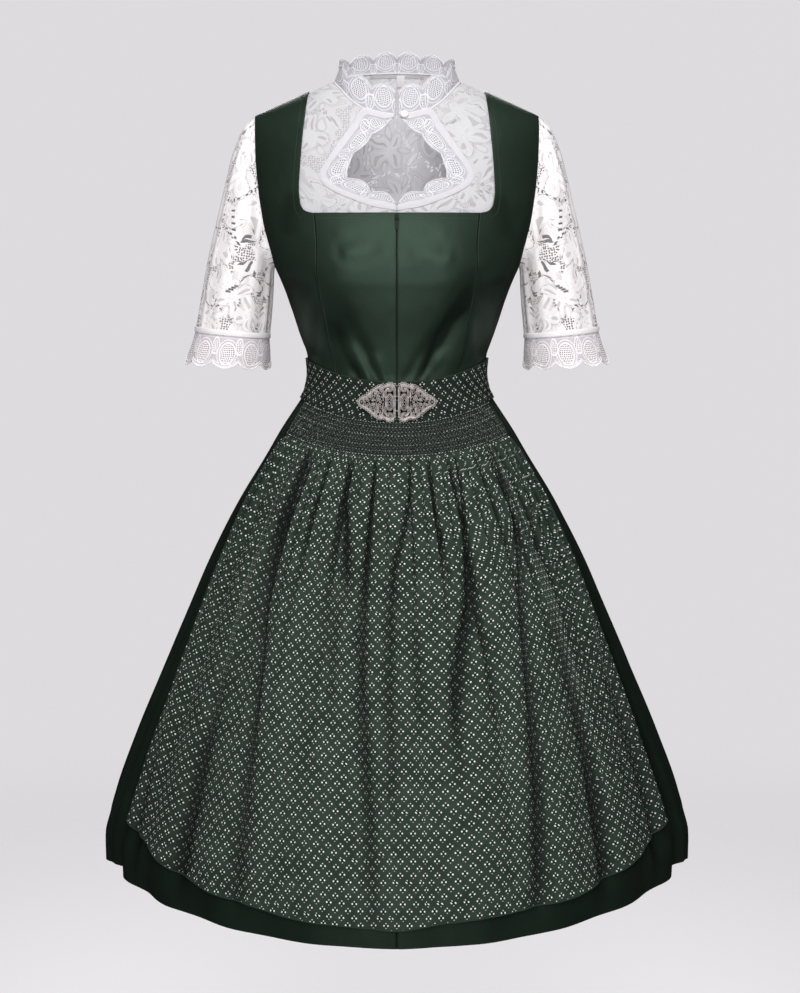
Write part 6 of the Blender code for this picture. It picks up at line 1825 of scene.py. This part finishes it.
def buildFloor():
    # a round floor whose edge fades into the backdrop
    radius = np.linspace(0.01, studio["floorRadius"], 30)
    turn = np.linspace(0, 2 * math.pi, 65)
    r, t = np.meshgrid(radius, turn, indexing="ij")
    grid = pack(r * np.cos(t), r * np.sin(t), np.full_like(r, studio["floorZ"]))
    floor = gridObject("studioFloor", grid, closed=True, outside=np.broadcast_to([0, 0, 1.0], grid.shape))
    finish = Finish("floorPale")
    place = finish.place()
    x, y = finish.parts(place)[:2]
    far = (x * x + y * y).math("SQRT")
    cloudy = finish.noise(place, 0.4, 2)
    colour = finish.mix(cloudy * 0.1, linear(246, 244, 247), linear(242, 240, 243))
    floor.data.materials.append(finish.close(colour, 0.9, alpha=far.soft(4.2, 1.2), Specular_IOR_Level=0.1))
    floor.visible_glossy = False


def buildLight(name, at, toward, size, power, glossy):
    # a round soft box; a lamp that is not glossy gives no reflection
    lamp = bpy.data.lights.new(name, "AREA")
    lamp.shape, lamp.size, lamp.energy = "DISK", size, power
    holder = bpy.data.objects.new(name, lamp)
    scene.collection.objects.link(holder)
    holder.location = at
    holder.visible_glossy = glossy
    turn = Vector(toward) - Vector(at)
    holder.rotation_euler = turn.to_track_quat("-Z", "Y").to_euler()


def buildWorld():
    # the camera sees the pale backdrop, the cloth is lit by a dimmer one, and a dark one is mirrored
    world = Finish("studioWorld", "worlds")
    scene.world = world.owner
    rays = world.node("LightPath").socket.node.outputs
    around, mirror = (world.node("Background", {}, {"Strength": studio[level]})
            for level in ("around", "mirrored"))
    shown = world.node("Background", {}, {"Color": linear(*studio["backdrop"]), "Strength": 1.0})
    seen = world.node("MixShader", {}, {0: Wire(world, rays["Is Glossy Ray"]), 1: around, 2: mirror})
    seen = world.node("MixShader", {}, {0: Wire(world, rays["Is Camera Ray"]), 1: seen, 2: shown})
    world.plug(world.tree.nodes["World Output"].inputs[0], seen)


def buildStudio():
    # world, floor, lamps and camera
    buildWorld()
    buildFloor()
    for lamp in studio["lights"]:
        buildLight(*lamp)
    lens = bpy.data.cameras.new("camera")
    lens.lens, lens.sensor_width = camera["lens"], 36
    holder = bpy.data.objects.new("camera", lens)
    scene.collection.objects.link(holder)
    holder.location = camera["at"]
    holder.rotation_euler = (math.radians(camera["pitch"]), 0, 0)
    scene.camera = holder
    scene.view_settings.view_transform = "Standard"


buildStudio()
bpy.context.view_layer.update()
triangles = {name: sum(len(face.vertices) - 2 for face in piece.data.polygons) * (2 if piece.modifiers else 1)
        for name, piece in made.items()}
most = sorted(triangles.items(), key=lambda item: -item[1])[:6]
print("triangles:", sum(triangles.values()), "most:", most)
